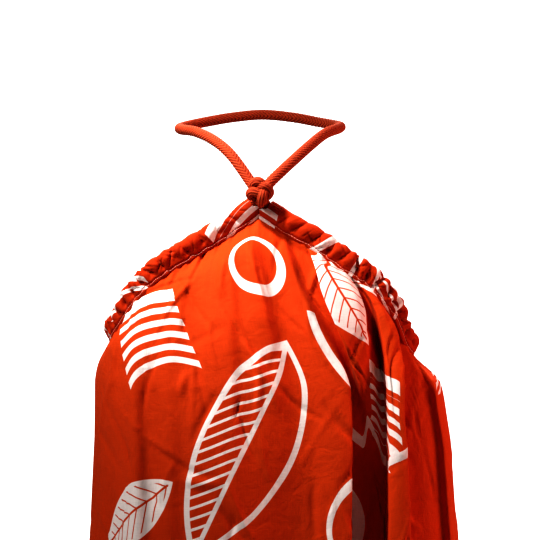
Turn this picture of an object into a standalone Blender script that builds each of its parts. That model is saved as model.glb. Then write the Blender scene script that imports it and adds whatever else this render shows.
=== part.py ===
"""Halter tent dress: two cloth panels hung from puckered casings on a rope.

Frame, in metres: origin at the nape where the rope rests, +Z up, the front of the dress faces -Y, and +X is the
right of somebody who looks at the front.
"""

import math

import bmesh
import bpy
import numpy as np

# Driving sizes
CLOTH = 0.0015
GAP = 0.0003
CENTRE_Y = -0.075
ROUNDNESS = 2.6
HEM_Z = -1.195
ROPE_RADIUS = 0.0052
INNER_ROPE_RADIUS = 0.0048
BORE_RADIUS = 0.0056
CASING_TOP = 0.0076
CASING_DROP = 0.0140
CASING_RINGS_PER_PUCKER = 4
ROPE_INSET = 0.0075
NOTCH_X = -0.0012
SETTLE = 0.019

# Levels of the hanging form: height, half width on the left and right, depth in front of and behind the centre
LEVELS = (
    # z, left, right, front, back
    (-0.095, 0.156, 0.156, 0.073, 0.085),
    (-0.160, 0.160, 0.160, 0.093, 0.100),
    (-0.215, 0.158, 0.157, 0.111, 0.106),
    (-0.245, 0.167, 0.161, 0.118, 0.108),
    (-0.280, 0.170, 0.182, 0.124, 0.110),
    (-0.340, 0.169, 0.192, 0.129, 0.112),
    (-0.450, 0.171, 0.199, 0.134, 0.116),
    (-0.700, 0.192, 0.233, 0.145, 0.130),
    (-1.200, 0.250, 0.285, 0.175, 0.165),
)

# Run of the rope through the casings: angle round the form from the centre front, height
RUN = (
    # angle, z
    (-9.0, -0.1035),
    (-29.8, -0.1250),
    (-41.2, -0.1397),
    (-53.7, -0.1602),
    (-60.5, -0.1760),
    (-66.0, -0.1930),
    (-72.0, -0.2100),
    (-80.0, -0.2220),
    (-90.0, -0.2280),
    (-110.0, -0.2300),
    (-135.0, -0.2330),
    (-160.0, -0.2350),
    (-180.0, -0.2360),
    (-200.0, -0.2370),
    (-225.0, -0.2385),
    (-250.0, -0.2400),
    (-270.0, -0.2410),
    (-281.0, -0.2395),
    (-287.5, -0.2320),
    (-290.0, -0.2190),
    (-292.6, -0.2060),
    (-297.0, -0.1930),
    (-302.5, -0.1745),
    (-311.0, -0.1572),
    (-325.0, -0.1332),
    (-337.8, -0.1207),
    (-354.0, -0.1060),
)
LEFT_SEAM_ROW = 8
RIGHT_SEAM_ROW = 16

# Puckers of each casing: place along the casing from 0 to 1, height of the pucker
PUCKERS_LEFT = (
    # place, height
    (0.06, 0.0006), (0.15, 0.0009), (0.22, 0.0007), (0.30, 0.0014), (0.37, 0.0012), (0.43, 0.0016), (0.49, 0.0013),
    (0.55, 0.0015), (0.61, 0.0017), (0.67, 0.0013), (0.73, 0.0017), (0.79, 0.0015), (0.85, 0.0012), (0.91, 0.0015),
    (0.96, 0.0012),
)
PUCKERS_RIGHT = (
    # place, height
    (0.04, 0.0012), (0.09, 0.0014), (0.14, 0.0011), (0.19, 0.0015), (0.24, 0.0016), (0.29, 0.0014), (0.34, 0.0018),
    (0.39, 0.0015), (0.44, 0.0018), (0.50, 0.0016), (0.55, 0.0013), (0.61, 0.0017), (0.67, 0.0014), (0.73, 0.0018),
    (0.80, 0.0012), (0.88, 0.0009), (0.95, 0.0006),
)
PUCKERS_BACK = (
    # place, height
    (0.03, 0.0014), (0.08, 0.0012), (0.13, 0.0016), (0.19, 0.0013), (0.24, 0.0015), (0.30, 0.0011), (0.36, 0.0015),
    (0.41, 0.0013), (0.47, 0.0016), (0.52, 0.0012), (0.58, 0.0015), (0.64, 0.0013), (0.69, 0.0016), (0.75, 0.0012),
    (0.81, 0.0015), (0.87, 0.0013), (0.92, 0.0016), (0.97, 0.0013),
)

# Section of a casing round the rope: outward, down. The last column is how far a pucker moves the point.
SECTION = (
    # outward, down, pucker share
    (0.0000, -0.0078, 0.8),
    (0.0056, -0.0052, 1.0),
    (0.0077, 0.0010, 1.0),
    (0.0060, 0.0080, 0.8),
    (0.0024, 0.0140, 0.0),
    (-0.0010, 0.0140, 0.0),
    (-0.0066, 0.0040, 0.3),
    (-0.0062, -0.0045, 0.5),
)

# Folds of the cloth. Each station: z, angle, height, width to the left, width to the right. Minus is a hollow.
FOLDS = {
    "left_crease": (
        (-0.21, -54.0, 0.0000, 0.012, 0.012), (-0.27, -51.0, 0.0035, 0.013, 0.013),
        (-0.38, -47.6, 0.0055, 0.014, 0.014), (-0.70, -46.0, 0.0120, 0.024, 0.026),
        (-1.20, -44.0, 0.0220, 0.036, 0.040)),
    "left_side": (
        (-0.25, -80.0, 0.0000, 0.016, 0.016), (-0.34, -79.0, 0.0030, 0.018, 0.018),
        (-0.70, -77.0, 0.0130, 0.028, 0.028), (-1.20, -75.0, 0.0240, 0.040, 0.040)),
    "left_recess": (
        (-0.36, -62.0, 0.0000, 0.014, 0.014), (-0.70, -61.5, -0.0080, 0.024, 0.024),
        (-1.20, -60.0, -0.0200, 0.034, 0.034)),
    "left_hollow": (
        (-0.13, -31.0, 0.0000, 0.012, 0.012), (-0.19, -33.0, -0.0035, 0.014, 0.014),
        (-0.26, -34.0, -0.0035, 0.016, 0.016), (-0.40, -34.0, -0.0010, 0.022, 0.022),
        (-1.20, -28.0, -0.0120, 0.040, 0.040)),
    "left_gather": (
        (-0.15, -47.0, 0.0000, 0.008, 0.008), (-0.18, -47.0, -0.0028, 0.008, 0.008),
        (-0.25, -45.0, -0.0016, 0.010, 0.010), (-0.32, -44.0, 0.0000, 0.012, 0.012)),
    "centre_hollow": (
        (-0.13, 6.0, 0.0000, 0.014, 0.014), (-0.18, 10.0, -0.0030, 0.016, 0.016),
        (-0.31, 15.0, -0.0030, 0.020, 0.020), (-0.70, 12.0, -0.0060, 0.030, 0.030),
        (-1.20, 9.0, -0.0160, 0.042, 0.042)),
    "centre_ridge": (
        (-0.40, -9.0, 0.0000, 0.030, 0.030), (-0.70, -9.0, 0.0060, 0.034, 0.034),
        (-1.20, -10.0, 0.0180, 0.044, 0.044)),
    "upper_trough": (
        (-0.145, 25.0, 0.0000, 0.010, 0.007), (-0.175, 28.0, -0.0050, 0.013, 0.007),
        (-0.230, 31.0, -0.0065, 0.015, 0.007), (-0.290, 33.0, -0.0045, 0.016, 0.008),
        (-0.340, 31.0, 0.0000, 0.016, 0.010)),
    "fold_a": (
        (-0.150, 36.0, 0.0000, 0.008, 0.012), (-0.175, 37.5, 0.0080, 0.007, 0.014),
        (-0.230, 40.0, 0.0110, 0.008, 0.014), (-0.275, 42.0, 0.0080, 0.008, 0.012),
        (-0.315, 43.0, 0.0000, 0.010, 0.012)),
    "panel_edge": (
        (-0.290, 35.5, 0.0000, 0.014, 0.008), (-0.340, 34.0, 0.0040, 0.014, 0.008),
        (-0.450, 33.0, 0.0060, 0.016, 0.010), (-0.700, 31.5, 0.0120, 0.022, 0.015),
        (-1.200, 29.0, 0.0240, 0.036, 0.024)),
    "deep_trough": (
        (-0.255, 46.0, 0.0000, 0.011, 0.009), (-0.290, 44.0, -0.0120, 0.012, 0.009),
        (-0.330, 42.3, -0.0230, 0.013, 0.010), (-0.385, 41.3, -0.0290, 0.014, 0.011),
        (-0.450, 40.6, -0.0310, 0.015, 0.012), (-0.700, 39.8, -0.0330, 0.019, 0.016),
        (-1.200, 38.5, -0.0360, 0.028, 0.024)),
    "fold_b": (
        (-0.175, 56.0, 0.0000, 0.008, 0.006), (-0.200, 54.8, 0.0100, 0.008, 0.005),
        (-0.264, 53.5, 0.0130, 0.010, 0.005), (-0.323, 52.2, 0.0130, 0.012, 0.006),
        (-0.381, 50.5, 0.0130, 0.013, 0.007), (-0.700, 49.0, 0.0180, 0.020, 0.014),
        (-1.200, 48.0, 0.0280, 0.030, 0.024)),
    "side_recess": (
        (-0.200, 62.0, 0.0000, 0.007, 0.008), (-0.225, 61.5, -0.0100, 0.007, 0.010),
        (-0.257, 60.5, -0.0130, 0.007, 0.012), (-0.384, 57.5, -0.0130, 0.008, 0.014),
        (-0.700, 59.0, -0.0160, 0.018, 0.018), (-1.200, 58.0, -0.0240, 0.028, 0.028)),
    "fold_c": (
        (-0.235, 72.0, 0.0000, 0.008, 0.009), (-0.280, 71.0, 0.0060, 0.009, 0.010),
        (-0.384, 68.0, 0.0080, 0.011, 0.012), (-0.700, 68.5, 0.0110, 0.018, 0.018),
        (-1.200, 68.0, 0.0220, 0.028, 0.028)),
    "right_hollow": (
        (-0.275, 80.0, 0.0000, 0.010, 0.010), (-0.330, 78.0, -0.0040, 0.011, 0.011),
        (-0.700, 79.0, -0.0090, 0.022, 0.022), (-1.200, 80.0, -0.0200, 0.034, 0.034)),
    "right_side": (
        (-0.290, 92.0, 0.0000, 0.014, 0.014), (-0.400, 92.0, 0.0030, 0.018, 0.018),
        (-0.700, 93.0, 0.0120, 0.028, 0.028), (-1.200, 94.0, 0.0220, 0.040, 0.040)),
    "back_1": (
        (-0.270, 109.0, 0.0000, 0.010, 0.010), (-0.330, 109.0, -0.0060, 0.014, 0.014),
        (-0.700, 109.0, -0.0140, 0.026, 0.026), (-1.200, 109.0, -0.0240, 0.038, 0.038)),
    "back_2": (
        (-0.270, 126.0, 0.0000, 0.010, 0.012), (-0.320, 126.0, 0.0070, 0.012, 0.016),
        (-0.700, 125.0, 0.0150, 0.024, 0.028), (-1.200, 124.0, 0.0240, 0.036, 0.040)),
    "back_3": (
        (-0.265, 143.0, 0.0000, 0.010, 0.010), (-0.330, 143.0, -0.0080, 0.014, 0.012),
        (-0.700, 142.0, -0.0160, 0.026, 0.022), (-1.200, 141.0, -0.0240, 0.036, 0.034)),
    "back_4": (
        (-0.260, 160.0, 0.0000, 0.010, 0.012), (-0.330, 159.0, 0.0055, 0.014, 0.018),
        (-0.700, 158.0, 0.0140, 0.026, 0.030), (-1.200, 157.0, 0.0240, 0.038, 0.042)),
    "back_5": (
        (-0.260, 181.0, 0.0000, 0.012, 0.010), (-0.330, 180.0, -0.0070, 0.016, 0.014),
        (-0.700, 179.0, -0.0160, 0.030, 0.026), (-1.200, 178.0, -0.0260, 0.042, 0.038)),
    "back_6": (
        (-0.260, 198.0, 0.0000, 0.010, 0.010), (-0.320, 198.0, 0.0080, 0.012, 0.012),
        (-0.700, 198.0, 0.0160, 0.024, 0.026), (-1.200, 198.0, 0.0250, 0.034, 0.038)),
    "back_7": (
        (-0.260, 216.0, 0.0000, 0.010, 0.012), (-0.330, 216.0, -0.0065, 0.014, 0.016),
        (-0.700, 217.0, -0.0140, 0.026, 0.028), (-1.200, 218.0, -0.0230, 0.038, 0.040)),
    "back_8": (
        (-0.255, 235.0, 0.0000, 0.010, 0.010), (-0.330, 235.0, 0.0060, 0.014, 0.014),
        (-0.700, 236.0, 0.0140, 0.028, 0.026), (-1.200, 237.0, 0.0230, 0.040, 0.038)),
    "back_9": (
        (-0.255, 253.0, 0.0000, 0.010, 0.010), (-0.330, 253.0, -0.0050, 0.014, 0.014),
        (-0.700, 254.0, -0.0110, 0.026, 0.026), (-1.200, 255.0, -0.0200, 0.038, 0.038)),
}

# Rope above the knot, from the knot up the left strap, round the nape and down the right strap to the knot
STRAPS = (
    # x, y, z
    (-0.0060, -0.1530, -0.0890),
    (-0.0105, -0.1500, -0.0820),
    (-0.0299, -0.1370, -0.0545),
    (-0.0476, -0.1150, -0.0378),
    (-0.0680, -0.0870, -0.0262),
    (-0.0850, -0.0560, -0.0210),
    (-0.0840, -0.0270, -0.0160),
    (-0.0620, -0.0060, -0.0090),
    (-0.0320, 0.0030, -0.0030),
    (0.0000, 0.0050, 0.0000),
    (0.0320, 0.0030, -0.0030),
    (0.0600, -0.0060, -0.0090),
    (0.0800, -0.0290, -0.0150),
    (0.0800, -0.0590, -0.0200),
    (0.0643, -0.0920, -0.0285),
    (0.0483, -0.1180, -0.0425),
    (0.0279, -0.1390, -0.0620),
    (0.0105, -0.1500, -0.0790),
    (0.0040, -0.1530, -0.0870),
)

# Bends of the knot that show, each with its own radius at every point
KNOT_BENDS = (
    # x, y, z, radius
    ((-0.0100, -0.1560, -0.0870, 0.0044), (-0.0085, -0.1600, -0.0815, 0.0050), (-0.0035, -0.1625, -0.0800, 0.0050),
     (0.0005, -0.1610, -0.0835, 0.0048), (0.0005, -0.1570, -0.0890, 0.0042)),
    ((-0.0040, -0.1580, -0.0850, 0.0042), (0.0015, -0.1640, -0.0850, 0.0048), (0.0065, -0.1620, -0.0875, 0.0050),
     (0.0085, -0.1580, -0.0920, 0.0048), (0.0060, -0.1545, -0.0970, 0.0040)),
    ((-0.0110, -0.1545, -0.0975, 0.0040), (-0.0125, -0.1590, -0.0930, 0.0048), (-0.0090, -0.1635, -0.0910, 0.0050),
     (-0.0030, -0.1640, -0.0930, 0.0048), (0.0010, -0.1590, -0.0950, 0.0042)),
    ((0.0010, -0.1590, -0.0900, 0.0046), (0.0008, -0.1655, -0.0935, 0.0052), (0.0002, -0.1645, -0.0990, 0.0052),
     (-0.0008, -0.1590, -0.1035, 0.0044), (-0.0012, -0.1535, -0.1050, 0.0034)),
)
KNOT_CORE = (-0.0015, -0.1545, -0.0925, 0.0085, 0.0050, 0.0090)
TAIL_LENGTH = 0.014


def level(z, column):
    """Half width or depth of the hanging form at heights z, read from the levels table."""
    table = np.array(LEVELS)
    return np.interp(-z, -table[:, 0], table[:, column])


def form(angle, z, inset=0.0):
    """Point of the form at an angle from the centre front and a height, and its outward direction."""
    a = np.where(np.sin(angle) < 0, level(z, 1), level(z, 2)) - inset
    b = np.where(np.cos(angle) > 0, level(z, 3), level(z, 4)) - inset
    s, c = np.abs(np.sin(angle)), np.abs(np.cos(angle))
    r = ((s / a) ** ROUNDNESS + (c / b) ** ROUNDNESS) ** (-1 / ROUNDNESS)
    point = np.stack([r * np.sin(angle), CENTRE_Y - r * np.cos(angle), z + 0 * r], axis=-1)
    nx = np.sign(np.sin(angle)) * (s * r / a) ** (ROUNDNESS - 1) / a
    ny = -np.sign(np.cos(angle)) * (c * r / b) ** (ROUNDNESS - 1) / b
    size = np.hypot(nx, ny)
    return point, np.stack([nx / size, ny / size, 0 * r], axis=-1), r


def fold_height(angle, z):
    """Sum of all folds: each is a smooth hump or hollow across its own line down the cloth."""
    total = np.zeros(np.broadcast(angle, z).shape)
    for stations in FOLDS.values():
        table = np.array(stations)
        at = [np.interp(-z, -table[:, 0], table[:, k]) for k in range(1, 5)]
        turn = (angle - np.radians(at[0]) + np.pi) % (2 * np.pi) - np.pi
        across = turn * form(np.radians(at[0]), z)[2]
        width = np.where(across < 0, at[2], at[3])
        total += at[1] * np.exp(-((across / width) ** 2))
    return total


def smooth_path(points, step):
    """Curve through the points, with even spacing: a Catmull-Rom spline measured along its length."""
    p = np.array(points, dtype=float)
    p = np.vstack([2 * p[0] - p[1], p, 2 * p[-1] - p[-2]])
    u = np.linspace(0, 1, 12, endpoint=False)[:, None]
    parts = []
    for k in range(1, len(p) - 2):
        a, b, c, d = p[k - 1], p[k], p[k + 1], p[k + 2]
        parts.append(0.5 * (2 * b + (c - a) * u + (2 * a - 5 * b + 4 * c - d) * u ** 2 + (3 * b - a - 3 * c + d) * u ** 3))
    curve = np.vstack(parts + [p[-2][None]])
    run = np.concatenate([[0], np.cumsum(np.linalg.norm(np.diff(curve[:, :3], axis=0), axis=1))])
    count = max(2, round(run[-1] / step) + 1)
    at = np.linspace(0, run[-1], count)
    return np.stack([np.interp(at, run, curve[:, k]) for k in range(curve.shape[1])], axis=1)


def unit(v):
    return v / np.linalg.norm(v, axis=-1, keepdims=True)


def make_run():
    """Rope line through all casings, with its along, outward and down directions and its length so far."""
    table = np.array(RUN)
    points = form(np.radians(table[:, 0]), table[:, 1], ROPE_INSET)[0]
    line = smooth_path(points, 0.001)
    angle = np.arctan2(line[:, 0], CENTRE_Y - line[:, 1])
    along = unit(np.gradient(line, axis=0))
    out = form(angle, line[:, 2])[1]
    down = unit(np.cross(out, along))
    out = unit(np.cross(along, down))
    length = np.arange(len(line)) * np.linalg.norm(line[1] - line[0])
    seams = [length[np.argmin(np.linalg.norm(line - points[k], axis=1))] for k in (LEFT_SEAM_ROW, RIGHT_SEAM_ROW)]
    return line, along, out, down, length, seams


def at_length(values, length, s):
    return np.stack([np.interp(s, length, values[:, k]) for k in range(3)], axis=-1)


def add_mesh(name, points, faces, material, smooth=True):
    mesh = bpy.data.meshes.new(name)
    mesh.from_pydata([tuple(p) for p in points], [], [tuple(f) for f in faces])
    body = bmesh.new()
    body.from_mesh(mesh)
    bmesh.ops.recalc_face_normals(body, faces=body.faces)
    body.to_mesh(mesh)
    body.free()
    mesh.polygons.foreach_set("use_smooth", [smooth] * len(mesh.polygons))
    mesh.materials.append(material)
    obj = bpy.data.objects.new(name, mesh)
    bpy.data.collections["halter_dress"].objects.link(obj)
    return obj


def tube_faces(rings, sides, first=0):
    faces = []
    for i in range(rings - 1):
        for j in range(sides):
            a, b = first + i * sides + j, first + i * sides + (j + 1) % sides
            faces.append((a, b, b + sides, a + sides))
    return faces


def tube(line, radius, sides, out=None):
    """Rings of points round a line, and the faces of the closed tube."""
    along = unit(np.gradient(line, axis=0))
    if out is None:
        start = np.cross(along[0], (0.0, 0.0, 1.0))
        side = [start / np.linalg.norm(start)]
        for k in range(1, len(line)):
            v = side[-1] - along[k] * np.dot(side[-1], along[k])
            side.append(v / np.linalg.norm(v))
        out = np.array(side)
    other = np.cross(along, out)
    turn = np.arange(sides) * 2 * np.pi / sides
    r = np.broadcast_to(np.asarray(radius, dtype=float), (len(line),))[:, None, None]
    rings = line[:, None] + r * (np.cos(turn)[None, :, None] * out[:, None] + np.sin(turn)[None, :, None] * other[:, None])
    faces = tube_faces(len(line), sides)
    faces.append(tuple(reversed(range(sides))))
    faces.append(tuple(range((len(line) - 1) * sides, len(line) * sides)))
    return rings.reshape(-1, 3), faces


def make_panel(name, angles, rows, material, run):
    """Cloth wall between two angles: its top row follows the lower edge of the casings, its last row the hem."""
    line, along, out, down, length, seams = run
    clear = CASING_DROP + 1.7 * GAP + 0.0011 * along[:, 2:] ** 4
    edge = line + down * clear + out * 0.0007
    turn = np.unwrap(np.arctan2(edge[:, 0], CENTRE_Y - edge[:, 1]))
    turn -= 2 * np.pi * np.round((turn[0] - 0.0) / (2 * np.pi))
    turn = np.minimum.accumulate(turn)
    tips = [edge[k] + along[k] * (NOTCH_X - edge[k, 0]) / along[k, 0] for k in (0, -1)]
    tips = [min(tips, key=lambda tip: tip[2])] * 2
    middle = math.atan2(NOTCH_X, CENTRE_Y - edge[0, 1])
    turn = np.concatenate([[middle], turn, [middle - 2 * np.pi]])
    frame = np.hstack([np.vstack([tips[0], edge, tips[1]]), np.vstack([down[0], down, down[-1]])])
    order = np.concatenate([turn[::-1], turn[::-1] + 2 * np.pi])
    both = np.concatenate([frame[::-1]] * 2)
    keep = np.concatenate([[True], np.diff(order) > 1e-7])
    order, both = order[keep], both[keep]
    seam = np.stack([np.interp(angles, order, both[:, k]) for k in range(6)], axis=-1)
    inside = (order >= angles[0]) & (order <= angles[-1])
    chord = np.stack([np.interp(order[inside], angles, seam[:, k]) for k in range(3)], axis=-1)
    short = np.maximum(-np.sum((chord - both[inside, :3]) * both[inside, 3:], axis=1), 0)
    span = np.clip(np.searchsorted(angles, order[inside]) - 1, 0, len(angles) - 2)
    push = np.zeros(len(angles))
    np.maximum.at(push, span, short)
    np.maximum.at(push, span + 1, short)
    top = seam[:, :3] + seam[:, 3:] * push[:, None]
    z = top[None, :, 2] + (HEM_Z - top[None, :, 2]) * np.array(rows)[:, None]
    angle = np.broadcast_to(angles[None, :], z.shape)
    base, normal, radius = form(angle, z)
    start = form(angles, top[:, 2])[0]
    below = top[None, :, 2] - z
    ease = np.exp(-((below / SETTLE) ** 2))[..., None]
    fade = np.clip(below / 0.03, 0, 1)
    middle = base + normal * (fold_height(angle, z) * fade)[..., None] + (top - start)[None] * ease
    across = np.gradient(middle, axis=1)
    fall = np.gradient(middle, axis=0)
    skin = unit(np.cross(fall, across))
    skin *= np.sign(np.sum(skin * normal, axis=-1, keepdims=True))
    skin[:, 0] = normal[:, 0]
    skin[:, -1] = normal[:, -1]
    skin[:, 0, 2] = 0
    skin[:, -1, 2] = 0
    n_rows, n_cols = z.shape
    front = (middle + skin * CLOTH / 2).reshape(-1, 3)
    back = (middle - skin * CLOTH / 2).reshape(-1, 3)
    count = len(front)
    faces = []
    for i in range(n_rows - 1):
        for j in range(n_cols - 1):
            a = i * n_cols + j
            quad = (a, a + 1, a + 1 + n_cols, a + n_cols)
            faces.append(quad)
            faces.append(tuple(k + count for k in reversed(quad)))
    rim = [(i * n_cols, (i + 1) * n_cols) for i in range(n_rows - 1)]
    rim += [((n_rows - 1) * n_cols + j, (n_rows - 1) * n_cols + j + 1) for j in range(n_cols - 1)]
    rim += [((i + 1) * n_cols + n_cols - 1, i * n_cols + n_cols - 1) for i in range(n_rows - 1)]
    rim += [(j + 1, j) for j in range(n_cols - 1)]
    for a, b in rim:
        faces.append((a, b, b + count, a + count))
    return add_mesh(name, np.vstack([front, back]), faces, material)


def pucker_height(table, place):
    """Height of the puckers along a casing: a rounded crest at each place, a tight valley halfway to the next."""
    rows = np.array(table)
    middles = (rows[1:, 0] + rows[:-1, 0]) / 2
    spots = np.concatenate([[0.0], np.sort(np.concatenate([rows[:, 0], middles])), [1.0]])
    values = np.interp(spots, rows[:, 0], rows[:, 1])
    low = np.isin(spots, middles)
    values[low] = -0.0006
    values[0] = values[-1] = 0.0
    return np.interp(place, spots, values)


def along_x(along, length, s):
    return unit(at_length(along, length, s))[0]


def make_casing(name, start, end, puckers, material, run, meet=None):
    """Gathered tube of cloth round the rope: a drop-shaped section with a round bore, puffed out at each pucker."""
    line, along, out, down, length, seams = run
    rows = np.array(puckers)
    middles = (rows[1:, 0] + rows[:-1, 0]) / 2
    spots = np.sort(np.concatenate([[0.0, 1.0], rows[:, 0], middles]))
    mids = (spots[1:] + spots[:-1]) / 2
    place = np.sort(np.concatenate([spots, mids]))
    s = start + place * (end - start)
    centre, n, w = at_length(line, length, s), unit(at_length(out, length, s)), unit(at_length(down, length, s))
    puff = pucker_height(puckers, place)
    section = np.array(SECTION)
    spread = np.hypot(section[:, 0], section[:, 1] * 0.5)
    side = section[:, 0] / spread
    drop = section[:, 1] * 0.5 / spread
    grow = puff[:, None] * section[None, :, 2]
    a = section[None, :, 0] + grow * side[None]
    b = section[None, :, 1] + grow * drop[None] * 0.8
    outer = centre[:, None] + a[..., None] * n[:, None] + b[..., None] * w[:, None]
    turn = np.radians((-90, -45, 0, 45, 90, 135, 180, 225))
    bore = centre[:, None] + BORE_RADIUS * (
        np.cos(turn)[None, :, None] * n[:, None] + np.sin(turn)[None, :, None] * w[:, None])
    if meet is not None:
        first = outer[meet]
        reach = (NOTCH_X + (GAP if meet else -GAP) / 2 - first[:, 0]) / along_x(along, length, s[meet])
        share = np.clip((section[:, 1] - 0.004) / 0.004, 0, 1)
        outer[meet] = first + (reach * share)[:, None] * unit(at_length(along, length, s[meet]))
    count = len(section)
    rings = len(place)
    points = np.vstack([outer.reshape(-1, 3), bore.reshape(-1, 3)])
    shift = rings * count
    faces = tube_faces(rings, count) + [tuple(reversed(f)) for f in tube_faces(rings, count, shift)]
    for j in range(count):
        k = (j + 1) % count
        faces.append((j, shift + j, shift + k, k))
        last = (rings - 1) * count
        faces.append((last + j, last + k, shift + last + k, shift + last + j))
    return add_mesh(name, points, faces, material)


def join_all(first, others):
    """Joins closed shapes into one with exact unions, then removes the shapes that were added."""
    for other in others:
        union = first.modifiers.new("join", "BOOLEAN")
        union.operation = "UNION"
        union.solver = "EXACT"
        union.object = other
        graph = bpy.context.evaluated_depsgraph_get()
        joined = bpy.data.meshes.new_from_object(first.evaluated_get(graph))
        first.modifiers.remove(union)
        first.data = joined
        bpy.data.objects.remove(other)
    return first


def keep_outside(obj):
    """Keeps the largest connected shell, so that no pocket stays closed between the bends of the knot."""
    body = bmesh.new()
    body.from_mesh(obj.data)
    body.verts.ensure_lookup_table()
    left = set(body.verts)
    shells = []
    while left:
        front = [left.pop()]
        shell = list(front)
        while front:
            near = [e.other_vert(v) for v in front for e in v.link_edges]
            front = [v for v in set(near) if v in left]
            left.difference_update(front)
            shell += front
        shells.append(shell)
    shells.sort(key=len)
    for shell in shells[:-1]:
        bmesh.ops.delete(body, geom=shell, context="VERTS")
    body.to_mesh(obj.data)
    body.free()
    return obj


def make_material(name, color, roughness):
    material = bpy.data.materials.new(name)
    material.use_nodes = True
    shader = material.node_tree.nodes["Principled BSDF"]
    shader.inputs["Base Color"].default_value = (*color, 1)
    shader.inputs["Roughness"].default_value = roughness
    return material


def make_halter_rope(material, run):
    """Rope where it shows: straps and nape loop, the bends of the knot, and two tails into the front casings."""
    line, along, out, down, length, seams = run
    straps = smooth_path(STRAPS, 0.011)
    whole = add_mesh("halter_rope", *tube(straps, ROPE_RADIUS, 8), material)
    extras = []
    for number, bend in enumerate(KNOT_BENDS):
        path = smooth_path(bend, 0.0030)
        extras.append(add_mesh(f"bend_{number}", *tube(path[:, :3], path[:, 3], 8), material))
    for number, (begin, sign) in enumerate(((0.0, 1), (length[-1], -1))):
        inside = at_length(line, length, begin + sign * np.array((TAIL_LENGTH, TAIL_LENGTH / 2, 0.0)))
        mouth = inside[-1] + 0.0035 * unit(inside[-1] - inside[-2])
        heart = np.array(((-0.0035, -0.1530, -0.0950), (0.0000, -0.1530, -0.0950))[number])
        path = smooth_path(np.vstack([inside, mouth, heart]), 0.0035)
        extras.append(add_mesh(f"tail_{number}", *tube(path, INNER_ROPE_RADIUS - 0.00005, 8), material))
    x, y, z, rx, ry, rz = KNOT_CORE
    core = bmesh.new()
    bmesh.ops.create_icosphere(core, subdivisions=2, radius=1.0)
    for v in core.verts:
        v.co = (x + v.co.x * rx, y + v.co.y * ry, z + v.co.z * rz)
    mesh = bpy.data.meshes.new("core")
    core.to_mesh(mesh)
    core.free()
    heart = bpy.data.objects.new("core", mesh)
    bpy.data.collections["halter_dress"].objects.link(heart)
    extras.insert(0, heart)
    whole = keep_outside(join_all(whole, extras))
    whole.data.polygons.foreach_set("use_smooth", [True] * len(whole.data.polygons))
    whole.data.materials.clear()
    whole.data.materials.append(material)
    return whole


def main():
    for obj in list(bpy.data.objects):
        bpy.data.objects.remove(obj)
    collection = bpy.data.collections.new("halter_dress")
    bpy.context.scene.collection.children.link(collection)

    cloth = make_material("printed_voile", (0.85, 0.10, 0.02), 0.8)
    casing = make_material("casing_voile", (0.78, 0.08, 0.02), 0.8)
    rope = make_material("rope", (0.70, 0.07, 0.02), 0.9)

    run = make_run()
    line, along, out, down, length, seams = run
    rows = (0, 0.009, 0.02, 0.036, 0.056, 0.082, 0.112, 0.148, 0.19, 0.24, 0.31, 0.41, 0.54, 0.69, 0.85, 1)
    slit = math.asin(GAP / 2 / 0.16)
    front_angles = np.radians(np.concatenate([
        np.linspace(-90, -8, 16), (-4.2, -0.92, 1.0, 3.5, 7.0, 12.0, 17.0, 21.5), np.arange(25, 46, 2.0),
        np.arange(46, 66, 1.4), np.linspace(66.5, 90, 10)]))
    front_angles[0] += slit
    front_angles[-1] -= slit
    back_angles = np.radians(np.linspace(90, 270, 38))
    back_angles[0] += slit
    back_angles[-1] -= slit
    make_panel("front_panel", front_angles, rows, cloth, run)
    make_panel("back_panel", back_angles, rows, cloth, run)

    make_casing("casing_left", 0.0, seams[0] - GAP / 2, PUCKERS_LEFT, casing, run, meet=0)
    make_casing("casing_back", seams[0] + GAP / 2, seams[1] - GAP / 2, PUCKERS_BACK, casing, run)
    make_casing("casing_right", seams[1] + GAP / 2, length[-1], PUCKERS_RIGHT, casing, run, meet=-1)

    s = np.linspace(TAIL_LENGTH + GAP, length[-1] - TAIL_LENGTH - GAP, 116)
    inner = at_length(line, length, s)
    add_mesh("casing_rope", *tube(inner, INNER_ROPE_RADIUS, 6), rope)
    make_halter_rope(rope, run)


main()
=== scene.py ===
"""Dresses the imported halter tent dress: printed voile panels, puckered casings, rope, knot and stitching."""

import math

import bpy
import numpy as np
from bpy.props import FloatProperty, FloatVectorProperty, IntProperty, PointerProperty
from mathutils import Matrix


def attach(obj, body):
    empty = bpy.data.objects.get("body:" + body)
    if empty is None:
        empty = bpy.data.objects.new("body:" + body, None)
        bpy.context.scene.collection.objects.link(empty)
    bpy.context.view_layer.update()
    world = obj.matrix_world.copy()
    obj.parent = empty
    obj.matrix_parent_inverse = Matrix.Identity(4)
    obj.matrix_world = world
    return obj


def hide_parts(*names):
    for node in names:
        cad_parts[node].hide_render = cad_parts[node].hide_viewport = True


bl_info = {
    "name": "Halter tent dress",
    "version": (1, 0, 0),
    "blender": (4, 5, 0),
    "location": "View3D > Sidebar > Dress",
    "description": "Builds a halter tent dress of printed voile on its solids",
    "category": "Add Mesh",
}

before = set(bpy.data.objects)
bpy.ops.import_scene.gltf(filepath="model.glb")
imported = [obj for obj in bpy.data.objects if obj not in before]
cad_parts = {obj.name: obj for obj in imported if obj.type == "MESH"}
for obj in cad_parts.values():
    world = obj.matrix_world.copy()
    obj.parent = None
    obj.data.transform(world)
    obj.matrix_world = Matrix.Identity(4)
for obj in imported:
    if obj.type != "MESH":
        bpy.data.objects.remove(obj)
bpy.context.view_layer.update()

# Fixed shape, in metres, from the same values as the solids
CENTRE_Y = -0.075
ROUNDNESS = 2.6
CASING_DROP = 0.0140
ROPE_INSET = 0.0075
NOTCH_X = -0.0012
BORE_RADIUS = 0.0056
TAIL_LENGTH = 0.014

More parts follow.
